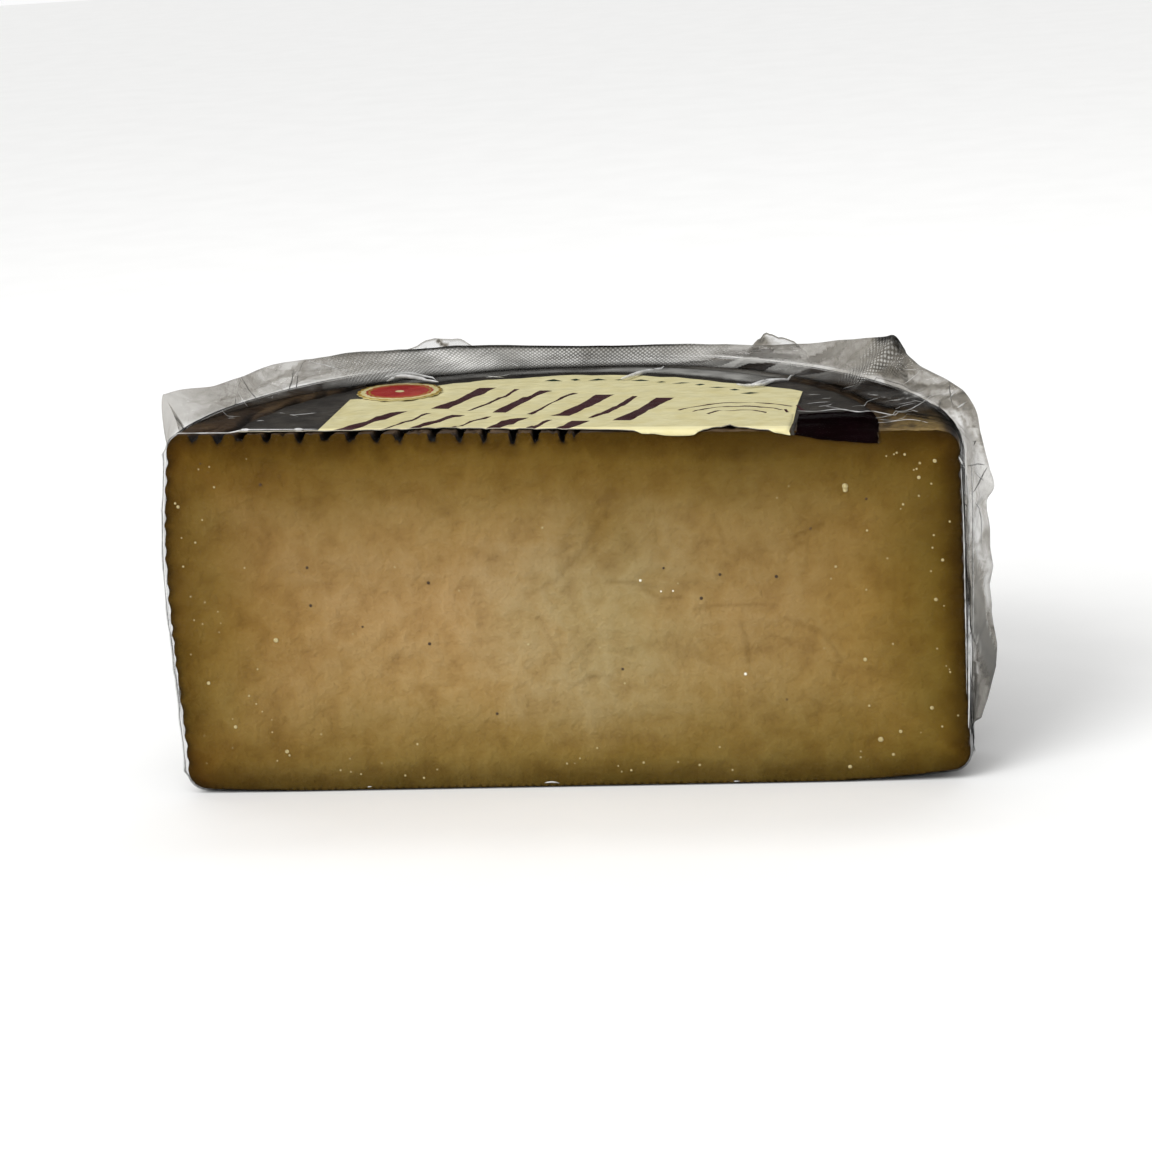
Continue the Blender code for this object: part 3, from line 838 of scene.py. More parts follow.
def scatter_tree(shader, flatness):
    """Nodes that put a small turned grain on every point of a mesh, by its own size."""
    tree = bpy.data.node_groups.new("grain_scatter", "GeometryNodeTree")
    for way in ("INPUT", "OUTPUT"):
        tree.interface.new_socket("Geometry", in_out=way, socket_type="NodeSocketGeometry")
    places = add(tree, "NodeGroupInput").outputs["Geometry"]
    grain = add(tree, "GeometryNodeMeshIcoSphere", {"Radius": MM, "Subdivisions": 2})
    size = add(tree, "GeometryNodeInputNamedAttribute", {"Name": "size"},
               data_type="FLOAT").outputs["Attribute"]
    flat = maths(tree, "MULTIPLY", size, flatness)
    scale = add(tree, "ShaderNodeCombineXYZ", {"X": size, "Y": flat, "Z": size})
    turn = add(tree, "FunctionNodeRandomValue", {"Max": (0, math.tau, 0), "Seed": CRYSTAL_SEED},
               data_type="FLOAT_VECTOR")
    copies = add(tree, "GeometryNodeInstanceOnPoints",
                 {"Points": places, "Instance": grain.outputs["Mesh"],
                  "Rotation": turn.outputs["Value"], "Scale": scale.outputs["Vector"]})
    real = add(tree, "GeometryNodeRealizeInstances", {"Geometry": copies.outputs["Instances"]})
    shaded = add(tree, "GeometryNodeSetMaterial", {"Geometry": real.outputs["Geometry"],
                                                   "Material": shader})
    add(tree, "NodeGroupOutput", {"Geometry": shaded.outputs["Geometry"]})
    return tree


def scatter(name, places, shader, flatness):
    """A piece of small grains at places of the cut, each (across, up, size)."""
    mesh = bpy.data.meshes.new(name + "_places")
    mesh.from_pydata([Vector((x, cut_relief(x, z) - GRAIN_STAND, z)) * MM + ORIGIN
                      for x, z, _ in places], [], [])
    sizes = mesh.attributes.new("size", "FLOAT", "POINT")
    sizes.data.foreach_set("value", [size / 2 for _, _, size in places])
    carrier = put(name + "_carrier", mesh)
    carrier.modifiers.new("scatter", "NODES").node_group = scatter_tree(shader, flatness)
    graph = bpy.context.evaluated_depsgraph_get()
    result = bpy.data.meshes.new_from_object(carrier.evaluated_get(graph))
    bpy.data.objects.remove(carrier)
    result.name = name
    result.shade_smooth()
    piece = put(name, result)
    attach(piece, "root")


def small_crystals():
    """Small crystals, most of them near the rind and fewer on the left."""
    uneven = random.Random(CRYSTAL_SEED)
    places = []
    while len(places) < SMALL_CRYSTALS:
        x = uneven.uniform(-PASTE_REACH, PASTE_REACH)
        z = uneven.uniform(PASTE_RISE[0], PASTE_RISE[1] - 1)
        from_rind = min(PASTE_REACH - abs(x), z * 1.4)
        keep = uneven.random() < bell(from_rind, CRYSTAL_ZONE) + CRYSTALS_INSIDE
        if keep and uneven.random() < (1 if x > 0 else CRYSTALS_LEFT):
            places.append((x, z, uneven.uniform(*SMALL_CRYSTAL_SIZES)))
    return places


# Label and seal

def paper_front(x):
    """Where the paper's front edge lies along the paper: below 0 it hangs over the cut."""
    reach = read_along(LABEL_REACH, x) + LABEL_FRAY * drift(x / 3, 0, 9)
    return -reach - LABEL_BEND * smooth(-0.3, 0.3, reach)


def paper_point(x, across, offset):
    """A point of the paper: across is the way back from the cut's edge along the paper."""
    top = top_height(x)
    turn = LABEL_CLEARANCE + offset
    if across < -LABEL_BEND:
        return Vector((x, -turn, top + across + LABEL_BEND))
    if across < 0:
        angle = -across / LABEL_CLEARANCE
        return Vector((x, -turn * math.sin(angle), top + turn * math.cos(angle)))
    crinkle = LABEL_CRINKLE * noise.fractal(Vector((x / 14, across / 3.2, 5)), 0.8, 2.1, 3)
    sag = LABEL_SAG * groove_depth(x, across)
    lift = max(LABEL_LOWEST, (crinkle - sag) * smooth(0, 6, across))
    fold = LABEL_FOLD_HEIGHT * bell(line_distance(x, across, LABEL_FOLD), LABEL_FOLD_WIDTH)
    return Vector((x, across, top + turn + (lift + fold)))


def field_outline():
    """The cream field: straight sides and an arched top with one cut shoulder."""
    places = [(-FIELD_SIDE, PRINT_FRONT), (-FIELD_SIDE, FIELD_RISE)]
    start = math.acos(-FIELD_SIDE / FIELD_ARCH)
    end = math.acos(FIELD_SHOULDER[0][0] / FIELD_ARCH)
    places += [on_circle(FIELD_ARCH, between(start, end, step / ARC_STEPS))
               for step in range(1, ARC_STEPS)]
    return places + list(FIELD_SHOULDER) + [(FIELD_SIDE, PRINT_FRONT)]


def stroke_outlines(row):
    """Slanted brush strokes with blunt ends, some straight and some bowed."""
    outlines = []
    for index in range(row.count):
        width, bow = STROKE_FORMS[index % len(STROKE_FORMS)]
        foot = Vector((row.first + row.pitch * index, row.foot + row.rise * index))
        along = Vector((row.lean, row.length))
        side = Vector((along.y, -along.x)).normalized()
        left, right = [], []
        for step in range(STROKE_STEPS + 1):
            share = step / STROKE_STEPS
            belly = math.sin(math.pi * share)
            middle = foot + along * share + side * bow * belly
            half = width / 2 * (0.62 + 0.38 * belly if abs(bow) > 1 else 1 - 0.22 * belly)
            left.append(tuple(middle + Vector((half, 0))))
            right.append(tuple(middle - Vector((half, 0))))
        outlines.append(left + right[::-1])
    return outlines


def lozenge_outlines():
    """Small lozenges in an arc along the top of the field."""
    outlines = []
    for index in range(LOZENGES):
        angle = math.radians(between(*LOZENGE_TURNS, index / (LOZENGES - 1)))
        x, y = on_circle(LOZENGE_ARC, angle)
        long, short = LOZENGE_SIZES[index % 2]
        outlines.append([(x - long, y), (x, y - short), (x + long, y), (x, y + short)])
    return outlines


def band_outline(radius, width):
    """A band along an arc, as a closed outline."""
    outer, inner = [], []
    for step in range(BAND_STEPS + 1):
        way = Vector(on_circle(1, math.radians(between(*ARC_TURNS, step / BAND_STEPS))))
        outer.append(tuple(Vector(ARC_MIDDLE) + way * (radius + width / 2)))
        inner.append(tuple(Vector(ARC_MIDDLE) + way * (radius - width / 2)))
    return outer + inner[::-1]


def inside_outline(x, y, outline):
    """Whether a place lies inside a closed outline."""
    inside = False
    for (x1, y1), (x2, y2) in zip(outline, outline[1:] + outline[:1]):
        if (y1 > y) != (y2 > y) and x < (x2 - x1) * (y - y1) / (y2 - y1) + x1:
            inside = not inside
    return inside


def print_fields():
    """The print's outlines with the number of the ink that fills each; later ones lie on top."""
    fields = [(field_outline(), 1), (list(FLAP), 4)]
    for row in STROKE_ROWS:
        fields += [(outline, 2) for outline in stroke_outlines(row)]
    fields += [(outline, 3) for outline in lozenge_outlines()]
    return fields + [(band_outline(*arc), 2) for arc in ARCS]


def build_label(inks):
    """The paper, printed side up, with its cut front edge and its turned-down corner."""
    flat, faces = [], []
    ends = LABEL_MIDDLE - LABEL_RADIUS, LABEL_MIDDLE + LABEL_RADIUS
    for step in range(LABEL_EDGE_STEPS + 1):
        x = between(*ends, step / LABEL_EDGE_STEPS)
        flat.append(Vector((x, paper_front(x), 0)))
    start = math.asin(flat[-1].y / LABEL_RADIUS)
    end = math.pi - math.asin(flat[0].y / LABEL_RADIUS)
    for step in range(1, LABEL_RIM_STEPS):
        x, y = on_circle(LABEL_RADIUS, between(start, end, step / LABEL_RIM_STEPS))
        flat.append(Vector((LABEL_MIDDLE + x, y, 0)))
    rim = len(flat)
    fields = print_fields()
    inner = spread((ends[0], -5), (ends[1], LABEL_RADIUS), LABEL_SPACING)
    fill(flat, faces, list(range(rim)), inner, lambda point: point.xy,
         lambda x, y: (x, y, 0), 0.35, [outline for outline, _ in fields],
         lambda x, y: (y > paper_front(x)
                       and math.hypot(x - LABEL_MIDDLE, y) < LABEL_RADIUS + min(0, y) / 9))
    marks = []
    for face in faces:
        middle = sum((flat[corner] for corner in face), Vector()) / len(face)
        mark = 0
        for outline, ink in fields:
            if inside_outline(middle.x, middle.y, outline):
                mark = ink
        marks.append(mark)
    count = len(flat)
    half = LABEL_THICKNESS / 2
    points = [paper_point(place.x, place.y, half) for place in flat]
    points += [paper_point(place.x, place.y, -half) for place in flat]
    back = [[corner + count for corner in reversed(face)] for face in faces]
    edge = bridge(range(rim), range(count, count + rim))
    marks += [5] * (len(back) + len(edge))
    return make_piece("paper_label", points, faces + back + edge, inks, marks,
                      replaced="label")


def build_seal(inks):
    """A thin round seal in rings of cream, gold and red, with a scalloped edge."""
    points, faces, marks, rims = [], [], [], []
    height = LABEL_CLEARANCE + LABEL_THICKNESS / 2 + SEAL_GAP

    def place(x, y, lift):
        wave = SEAL_WAVE * drift(x / 4, y / 3, 7)
        x, y = x + SEAL_PLACE[0], y + SEAL_PLACE[1]
        return Vector((x, y, top_height(x) + height + wave + lift))

    for lift in (SEAL_THICKNESS / 2, -SEAL_THICKNESS / 2):
        middle = len(points)
        points.append(place(0, 0, lift))
        rings = []
        for radius in SEAL_RINGS:
            rings.append(range(len(points), len(points) + SEAL_SIDES))
            scallop = SEAL_SCALLOP if radius > SEAL_RINGS[1] else 0
            for side in range(SEAL_SIDES):
                angle = math.tau * side / SEAL_SIDES
                wave = 1 + scallop * math.cos(SEAL_SCALLOPS * angle)
                points.append(place(*on_circle(radius * wave, angle), lift))
        core = [(middle, *pair) for pair in zip(rings[0], [*rings[0][1:], rings[0][0]])]
        bands = [core] + [bridge(near, far) for near, far in zip(rings, rings[1:])]
        for band, ink in zip(bands, SEAL_INKS):
            faces += band
            marks += [ink] * len(band)
        rims.append(rings[-1])
    faces += bridge(*rims)
    marks += [1] * SEAL_SIDES
    return make_piece("round_seal", points, faces, inks, marks, replaced="seal")


# Film

def skin_gap(x, y):
    """How far the tight film lies off the top, higher over the label and the seal."""
    label = smooth(0, 5, LABEL_RADIUS + 2 - math.hypot(x - LABEL_MIDDLE, y))
    seal = smooth(0, 4, SEAL_RINGS[-1] + 3 - math.hypot(x - SEAL_PLACE[0], y - SEAL_PLACE[1]))
    return between(between(SKIN_GAP, SKIN_GAP_OVER_LABEL, label), SKIN_GAP_OVER_SEAL, seal)


def cut_gap(x, z):
    """How far the film stands in front of the cut: more where the paper hangs over it."""
    hanging = smooth(*FLAP_FROM, x) * (1 - smooth(*FLAP_TO, x))
    hanging *= smooth(*FLAP_DROP, z - top_height(x))
    return between(SKIN_GAP_AT_CUT, SKIN_GAP_AT_FLAP, hanging)


def skin_wrinkle(angle, share):
    """Shallow pleats of the film on the side, stronger towards its ends."""
    along = angle * WHEEL_RADIUS
    fine = 1 - 2 * abs(drift(along / 7, share * 3, 1))
    broad = 1 - 2 * abs(drift(along / 15, share * 6, 4))
    ends = between(PLEATS_AMID, 1, abs(2 * share - 1) ** 2)
    return -FINE_PLEAT * max(0, fine) ** 3 * ends - BROAD_PLEAT * max(0, broad) ** 4


def skin_veil(point):
    """How milky the tight film is: clear, but for the haze on the top."""
    radius = math.hypot(point.x, point.y)
    angle = math.degrees(math.atan2(point.y, point.x))
    if point.z < top_height(point.x) - 2:
        return SKIN_VEIL
    patchy = 0.8 + 0.6 * drift(point.x / 7, point.y / 4, 8)
    inside = smooth(*HAZE_RADII[:2], radius) * (1 - smooth(*HAZE_RADII[2:], radius))
    return max(SKIN_VEIL, read_along(HAZE, angle) * patchy * inside)


def build_skin(film):
    """The film that lies tight on the cheese."""
    points, faces, _, _ = half_wheel(
        SKIN_FINENESS, SKIN_GAP, skin_wrinkle, SKIN_GAP_AT_CUT,
        lambda x, y: top_height(x) + skin_gap(x, max(0, y)),
        lambda x, y: base_height(x, y) - SKIN_GAP * crown_share(x, y),
        lambda x, z: -cut_gap(x, z))
    for point in points:
        point.z = max(SKIN_LOWEST, point.z)
    return make_piece("film_skin", points, faces, (film,),
                      values={"veil": [skin_veil(point) for point in points]})


def surface_point(angle, drop, gap):
    """A point off the wheel's surface. Drop runs from the flat top's edge over the rim."""
    quarter = math.pi / 2 * TOP_ROUND
    outward = Vector((math.cos(angle), math.sin(angle), 0))
    turn = min(math.pi / 2, max(0, drop / TOP_ROUND))
    inset = TOP_ROUND * (1 - math.sin(turn)) - min(0, drop)
    x, y = wall_point(angle, WHEEL_HEIGHT - max(0, drop - quarter), inset)
    height = top_height(x) - TOP_ROUND * (1 - math.cos(turn)) - max(0, drop - quarter)
    normal = outward * math.sin(turn) + Vector((0, 0, math.cos(turn)))
    return Vector((x, y, height)) + normal * gap


def fold_gap(drop):
    """The fold's feet lie closer to the wall than to the top, where the paper is under it."""
    return between(FOLD_GAP_TOP, FOLD_GAP_WALL, smooth(*FOLD_GAP_CHANGE, drop))


def curve_through(stations, index, share):
    """A smooth curve through the stations, read between one and the next."""
    last = len(stations) - 1
    near = [stations[min(last, max(0, index + step))] for step in (-1, 0, 1, 2)]
    values = []
    for before, here, after, beyond in zip(*near):
        values.append(0.5 * (2 * here + (after - before) * share
                             + (2 * before - 5 * here + 4 * after - beyond) * share ** 2
                             + (3 * here - before - 3 * after + beyond) * share ** 3))
    return values


def fold_path():
    """Values along the fold at even steps: the stations' own, and the way run so far."""
    stations = [(math.radians(angle), *rest) for angle, *rest in FOLD_STATIONS]
    fine = [curve_through(stations, index, step / FOLD_CURVE_STEPS)
            for index in range(len(stations) - 1) for step in range(FOLD_CURVE_STEPS)]
    fine.append(stations[-1])
    path = []
    run, target = 0, 0
    for here, after in zip(fine, fine[1:]):
        length = (surface_point(*after[:2], 0) - surface_point(*here[:2], 0)).length
        while length and target <= run + length:
            share = (target - run) / length
            path.append([between(a, b, share) for a, b in zip(here, after)] + [target])
            target += FOLD_STEP
        run += length
    return path


def facet(across, up, seed):
    """Creased film as flat facets between corners set at random.

    Returns the height from -1 to 1, the facet's painted light and shade from 0 to 1, how near
    its nearest edge the place is, from 0 at the edge, and that edge's own chance from 0 to 1.
    """
    column, row = math.floor(across), math.floor(up)
    x, y = across - column, up - row

    def chance(right, above, kind):
        return noise.cell(Vector((column + right + 0.5, row + above + 0.5, seed + kind)))

    def corner(right, above):
        return 2 * chance(right, above, 0) - 1

    edge, mark = min((x, chance(0, 0, 3)), (1 - x, chance(1, 0, 3)), (y, chance(0, 0, 4)),
                     (1 - y, chance(0, 1, 4)), (abs(x + y - 1), chance(0, 0, 5)))
    if x + y < 1:
        low = corner(0, 0)
        height = low + (corner(1, 0) - low) * x + (corner(0, 1) - low) * y
        return height, chance(0, 0, 1), edge, mark
    high = corner(1, 1)
    height = high + (corner(0, 1) - high) * (1 - x) + (corner(1, 0) - high) * (1 - y)
    return height, chance(0, 0, 2), edge, mark


def crease_at(away, mark):
    """A crease at a distance from it: below 0 where painted as shade, above 0 where painted as a
    highlight, or none.
    """
    kind = 1 if mark > CREASE_BRIGHT_FROM else -1 if mark < CREASE_DARK_TO else 0
    return kind * bell(away, CREASE_WIDTH)


def crumple(run, up, angle):
    """Height, painted light and shade, and crease of large facets with smaller, fainter ones on
    them.
    """
    length = read_along(FACET_LENGTHS, math.degrees(angle))
    bend = 0.5 * drift(run / 17, up * 1.3, 5)
    height, facet_light, edge, mark = facet(run / length + bend + up * 0.7, up * 1.7 + bend, 2.5)
    fine, fine_facet_light, fine_edge, fine_mark = facet(run / length * FINER - up, up * 3.1 + bend, 6.5)
    crease = crease_at(edge * length, mark)
    crease += 0.5 * crease_at(fine_edge * length / FINER, fine_mark)
    return (height + FAINTER * fine, (1 - FAINTER) * facet_light + FAINTER * fine_facet_light,
            max(-1, min(1, crease)))


def fold_ring(path, index):
    """One cross-section of the fold, from its front foot over its tip to its back and base.

    Returns its points and, for each, its values of FILM_VALUES.
    """
    angle, drop, height, upright, front, back, calm, veil, shade, run = path[index]
    before, after = path[max(0, index - 1)], path[min(len(path) - 1, index + 1)]
    radius = WHEEL_RADIUS
    along = Vector(((after[0] - before[0]) * radius, after[1] - before[1])).normalized()
    sideways = Vector((along.y, -along.x))

    def foot(reach, lift):
        fall = drop + sideways.y * reach
        return surface_point(angle + sideways.x * reach / radius, fall, fold_gap(fall) + lift)

    outward = Vector((math.cos(angle), math.sin(angle), 0))
    pointing = (outward * (1 - upright) + Vector((0, 0, upright))).normalized()
    ragged = sum(stand * facet(run / length, 0, seed)[0] for length, stand, seed in TIP_RAGGED)
    root = foot(0, 0)
    tip = root + pointing * (height + calm * ragged)
    towards_front = (foot(front, 0) - foot(-back, 0)).normalized()
    tip += towards_front * calm * facet(run / TIP_SWAY_LENGTH, 0, 5.5)[0]
    embossing = read_along(DIMPLES, math.degrees(angle))
    ring, values = [], []
    for side, reach, rows in ((1, front, FOLD_FRONT_ROWS), (-1, -back, FOLD_BACK_ROWS)):
        start = foot(reach, FOLD_FOOT)
        end = tip + towards_front * FOLD_TIP * side
        normal = (pointing * abs(reach) + towards_front * height * side).normalized()
        film = []
        for row in range(rows + 1):
            share = row / rows
            belly = 4 * share * (1 - share)
            point = between(start, end, share) + (root - tip) * FOLD_SAG * belly
            stand, facet_light, crease = crumple(run, share + (side < 0) * 3, angle)
            lift = calm * stand * min(1, 2.2 * belly)
            loose = smooth(0.08 * embossing, 0.3 + 0.1 * embossing, share)
            crest = embossing * smooth(0.9, 0.97, share)
            # Each facet's painted light and shade makes it milkier or greyer, and its creases are
            # painted as shade or as highlights.
            milk = veil * (1 + (facet_light - 0.5) * (1 - 0.75 * embossing)) * (1 - crest)
            grey = (shade * (1 + calm * (facet_light - 0.5)) + CREASE_GREY * calm * max(0, -crease)
                    + CREST_GREY * crest)
            gleam = CREASE_GLEAM * calm * max(0, crease)
            up = (share - 1) * (end - start).length
            film.append((point + normal * lift, (milk * loose, grey * loose, gleam * loose,
                                                 embossing * loose * (1 - crest), run, up)))
        for point, value in film if side > 0 else film[::-1]:
            ring.append(point)
            values.append(value)
    for step in range(FOLD_BASE_ROWS + 1):
        ring.append(foot(-back + (front + back) * step / FOLD_BASE_ROWS, 0))
        values.append((0, 0, 0, 0, run, 0))
    return ring, values


def build_peaks(film):
    """Corners of the bag's rear film that stand up behind the ridge."""
    points, faces, values = [], [], []
    for outline in PEAKS:
        low, high = outline[0][0], outline[-1][0]
        columns = round((high - low) / PEAK_STEP)
        grids = []
        for thickness in (-FOLD_TIP, FOLD_TIP):
            grid = []
            for column in range(columns + 1):
                x = low + (high - low) * column / columns
                top = read_along(outline, x) + PEAK_RAGGED * facet(x / 2.5, 0, 3.5)[0]
                line = []
                for row in range(PEAK_ROWS + 1):
                    share = row / PEAK_ROWS
                    bend, facet_light, edge, mark = facet(x / PEAK_FACET + share, share * 2, 1.5)
                    loose = smooth(0.3, 0.9, share) * smooth(0, PEAK_EDGE, min(x - low, high - x))
                    crease = crease_at(edge * PEAK_FACET, mark)
                    line.append(len(points))
                    points.append(Vector((x, PEAK_PLACE + PEAK_BOW * bend * share + thickness / 2,
                                          between(PEAK_FOOT, top, share))))
                    # Painted light and shade by facet, with creases painted as shade and as
                    # highlights.
                    values.append((0.12 * loose, (0.25 + 0.35 * facet_light - 0.3 * crease) * loose,
                                   0.3 * max(0, crease) * loose, 0, x, 0))
                grid.append(line)
            grids.append(grid)
        for grid in grids:
            for here, there in zip(grid, grid[1:]):
                faces += bridge(here, there, closed=False)
        faces += bridge(*([*grid[0][:-1], *(line[-1] for line in grid), *grid[-1][-2::-1],
                           *(line[0] for line in grid[-2:0:-1])] for grid in grids))
    return make_piece("film_peaks", points, faces, (film,),
                      values=dict(zip(FILM_VALUES, zip(*values))))


def build_fold(film):
    """The standing fold of the bag: ear, dimpled ridge and fin in one run."""
    points, rings, values = [], [], []
    path = fold_path()
    for index in range(len(path)):
        ring, marks = fold_ring(path, index)
        rings.append(range(len(points), len(points) + len(ring)))
        points += ring
        values += marks
    return make_piece("film_fold", points, tube(rings), (film,), replaced="bag",
                      values=dict(zip(FILM_VALUES, zip(*values))))


def film_surface(pieces):
    """A search tree of the film's surface, in millimetres."""
    points, faces = [], []
    for piece in pieces:
        start = len(points)
        points += [(vertex.co - ORIGIN) / MM for vertex in piece.data.vertices]
        faces += [[corner + start for corner in face.vertices] for face in piece.data.polygons]
    return BVHTree.FromPolygons(points, faces)


def lay_line(surface, line, above):
    """A smooth line of points on the film, seen from above or from the front.

    Where the film steps back the line breaks, and its longest stretch is kept.
    """
    runs = [[]]
    for index in range(len(line) - 1):
        length = math.dist(line[index], line[index + 1])
        steps = max(2, round(length))
        for step in range(steps):
            first, second = curve_through(line, index, step / steps)
            if above:
                hit = surface.ray_cast((first, second, OUTSIDE), (0, 0, -1))[0]
            else:
                hit = surface.ray_cast((first, -OUTSIDE, second), (0, 1, 0))[0]
            if not hit:
                continue
            if runs[-1] and (hit - runs[-1][-1]).length > LAID_JUMP:
                runs.append([])
            runs[-1].append(hit)
    return max(runs, key=len)


def add_crease(points, faces, line, width):
    """A thin rounded crease along a line, tapering to both ends."""
    rings = []
    last = len(line) - 1
    for index, point in enumerate(line):
        along = (line[min(last, index + 1)] - line[max(0, index - 1)]).normalized()
        across = along.orthogonal().normalized()
        up = along.cross(across)
        from_end = min(index, last - index) / last
        radius = width / 2 * between(LAID_TIP, 1, math.sqrt(2 * from_end))
        rings.append(range(len(points), len(points) + LAID_SIDES))
        for side in range(LAID_SIDES):
            x, y = on_circle(radius, math.tau * side / LAID_SIDES)
            points.append(point + across * x + up * y)
    faces += tube(rings)


def streaks():
    """Short slanted lines of painted highlight over the bare rind, with their widths."""
    uneven = random.Random(STREAK_SEED)
    lines = []
    for count, low, high in STREAK_ZONES:
        for _ in range(count):
            x, y = uneven.uniform(low[0], high[0]), uneven.uniform(low[1], high[1])
            length, lean = uneven.uniform(*STREAK_LENGTHS), uneven.uniform(*STREAK_LEANS)
            bow = uneven.uniform(-STREAK_BOW, STREAK_BOW)
            end = (x + length / 2, y + length * lean)
            middle = ((x + end[0]) / 2 + bow, (y + end[1]) / 2 - bow)
            lines.append((((x, y), middle, end), uneven.uniform(*STREAK_WIDTHS)))
    return lines


def build_creases(surface, bright, dark):
    """The sharp creases of the film: the bright ones painted as highlights, the dark ones as
    shade in folds.
    """
    for name, groups, material in (
            ("film_glint_creases", ((BRIGHT_CREASES_ABOVE, True), (streaks(), True),
                                     (BRIGHT_CREASES_FRONT, False)), bright),
            ("film_shaded_creases", ((DARK_CREASES_ABOVE, True),
                                   (DARK_CREASES_FRONT, False)), dark)):
        points, faces = [], []
        for lines, above in groups:
            for line, width in lines:
                laid = lay_line(surface, line, above)
                if len(laid) > 2:
                    add_crease(points, faces, laid, width)
        make_piece(name, points, faces, (material,))


# Materials

def value_of(tree, name):
    """What the points of a piece carry under a name."""
    return add(tree, "ShaderNodeAttribute", attribute_name=name).outputs["Fac"]


def maths(tree, operation, *values, clamp=False):
    """The result of one operation on sockets or numbers."""
    return add(tree, "ShaderNodeMath", enumerate(values), operation=operation,
               use_clamp=clamp).outputs[0]


def rescale(tree, value, low=0, high=1, first=0, last=1):
    """A value that runs from low to high, made to run from first to last."""
    return add(tree, "ShaderNodeMapRange", {"Value": value, "From Min": low, "From Max": high,
                                            "To Min": first, "To Max": last}).outputs[0]


def noise_of(tree, place, size, detail, **settings):
    """Noise from 0 to 1 in forms of a size in millimetres."""
    return add(tree, "ShaderNodeTexNoise", {"Vector": place, "Scale": 1 / size,
                                            "Detail": detail, **settings}).outputs["Fac"]


def bump_of(tree, height, strength, depth):
    """The normal of a bump, with its depth in millimetres."""
    return add(tree, "ShaderNodeBump", {"Height": height, "Strength": strength,
                                        "Distance": depth * MM}).outputs[0]


def mix(tree, share, first, second, kind="MIX"):
    """One colour from two, by a share."""
    return add(tree, "ShaderNodeMix", {0: share, 6: first, 7: second}, data_type="RGBA",
               blend_type=kind).outputs[2]


def times(tree, body, colours, share=1):
    """A colour darkened by another one, by a share."""
    return mix(tree, share, body, colours, "MULTIPLY")


def ramp(tree, value, stops, low=0, high=1):
    """Colours along a value that runs from low to high."""
    share = rescale(tree, value, low, high)
    return add(tree, "ShaderNodeValToRGB", {"Fac": share}, stops).outputs["Color"]


def spot(tree, place, across, up, radius, reach=1000):
    """A share that fades from 1 at a place of the cut to 0 at a radius round it.

    Reach is how far it runs back into the cheese.
    """
    around = mapping(tree, place, (1 / radius, 1 / reach, 1 / radius),
                     Location=(-across / radius, 0, -up / radius))
    return add(tree, "ShaderNodeTexGradient", {"Vector": around},
               gradient_type="SPHERICAL").outputs["Fac"]


def finish(tree, shader):
    add(tree, "ShaderNodeOutputMaterial", {"Surface": shader.outputs[0]})


def finish_solid(tree, body, roughness, looks=()):
    """End a material with one shader for a solid surface."""
    finish(tree, add(tree, "ShaderNodeBsdfPrincipled", {
        "Base Color": body, "Roughness": roughness, **dict(looks)}))


def make_paste():
    """Cured sheep's-milk paste, wire-cut: satin and waxy, cloudy straw to olive brown."""
    material, tree, place = start_material("cured_cheese_paste")
    # From olive at the edges to pale straw in the middle, palest round the middle: partly the
    # paste's drying near the rind, partly painted light, brighter in the middle and shaded
    # towards the edges.
    cloud = noise_of(tree, place, 26, 8, Roughness=0.64, Distortion=0.4)
    wobble = maths(tree, "MULTIPLY_ADD", cloud, 12, -6)
    inward = maths(tree, "ADD", value_of(tree, "depth"), wobble)
    body = ramp(tree, inward, (
        (0, "#5e4d21"), (0.06, "#685528"), (0.17, "#836f3e"), (0.35, "#907846"),
        (0.6, "#a48959"), (1, "#ad9268")), 0, 44)
    heart = maths(tree, "MULTIPLY", spot(tree, place, 9, 44, 46), cloud)
    body = mix(tree, rescale(tree, heart, 0.1, 0.4, 0, 0.75), body, colour("#ab9d7a"))
    # Rows of colours across the cut and up it make it darker towards the top and the right, and
    # less so towards the left and the bottom: partly uneven drying, partly painted shade.
    ways = add(tree, "ShaderNodeSeparateXYZ", {"Vector": place}).outputs
    across = ramp(tree, ways["X"], (
        (0, "#eaddbe"), (0.041, "#eee9d8"), (0.102, "#e7e1d4"), (0.219, "#f6f5f1"),
        (0.398, "#ffffff"), (0.602, "#f1f0e4"), (0.755, "#e8e9e1"), (0.883, "#dfdbc1"),
        (0.959, "#d5d1ad"), (1, "#c7ba7b")), -PASTE_REACH, PASTE_REACH)
    up = ramp(tree, ways["Z"], (
        (0, "#eae7de"), (0.069, "#fcf6e8"), (0.195, "#ffffff"), (0.483, "#f9f3e5"),
        (0.678, "#efeae2"), (0.816, "#ece8e1"), (0.931, "#dcceac"), (1, "#cdbb86")), *PASTE_RISE)
    body = times(tree, body, times(tree, across, up))
    body = times(tree, body, colour("#e2dabe"), spot(tree, place, 12, 69, 15))
    body = times(tree, body, colour("#c8b890"), spot(tree, place, -99, 2, 20))
    curd = noise_of(tree, place, 8, 4, Roughness=0.6)
    veins = ramp(tree, curd, ((0.32, "#c4ae88"), (0.46, "#ebe1ca"), (0.58, "#ffffff"),
                              (0.72, "#eee2ca")))
    body = times(tree, body, veins, 0.5)
    # Painted shade in the hollows of the curd's lines.
    body = times(tree, body, colour("#a8926a"), value_of(tree, "knit"))
    # The dark line along the paste's edge: the rind's own line, with painted shade behind the
    # rind's hollows.
    body = mix(tree, value_of(tree, "rim"), body, colour("#281b06"))
    finish_solid(tree, body, 0.5, {"Specular IOR Level": 0.03,
                                   "Normal": bump_of(tree, curd, 1, 2)})
    return material


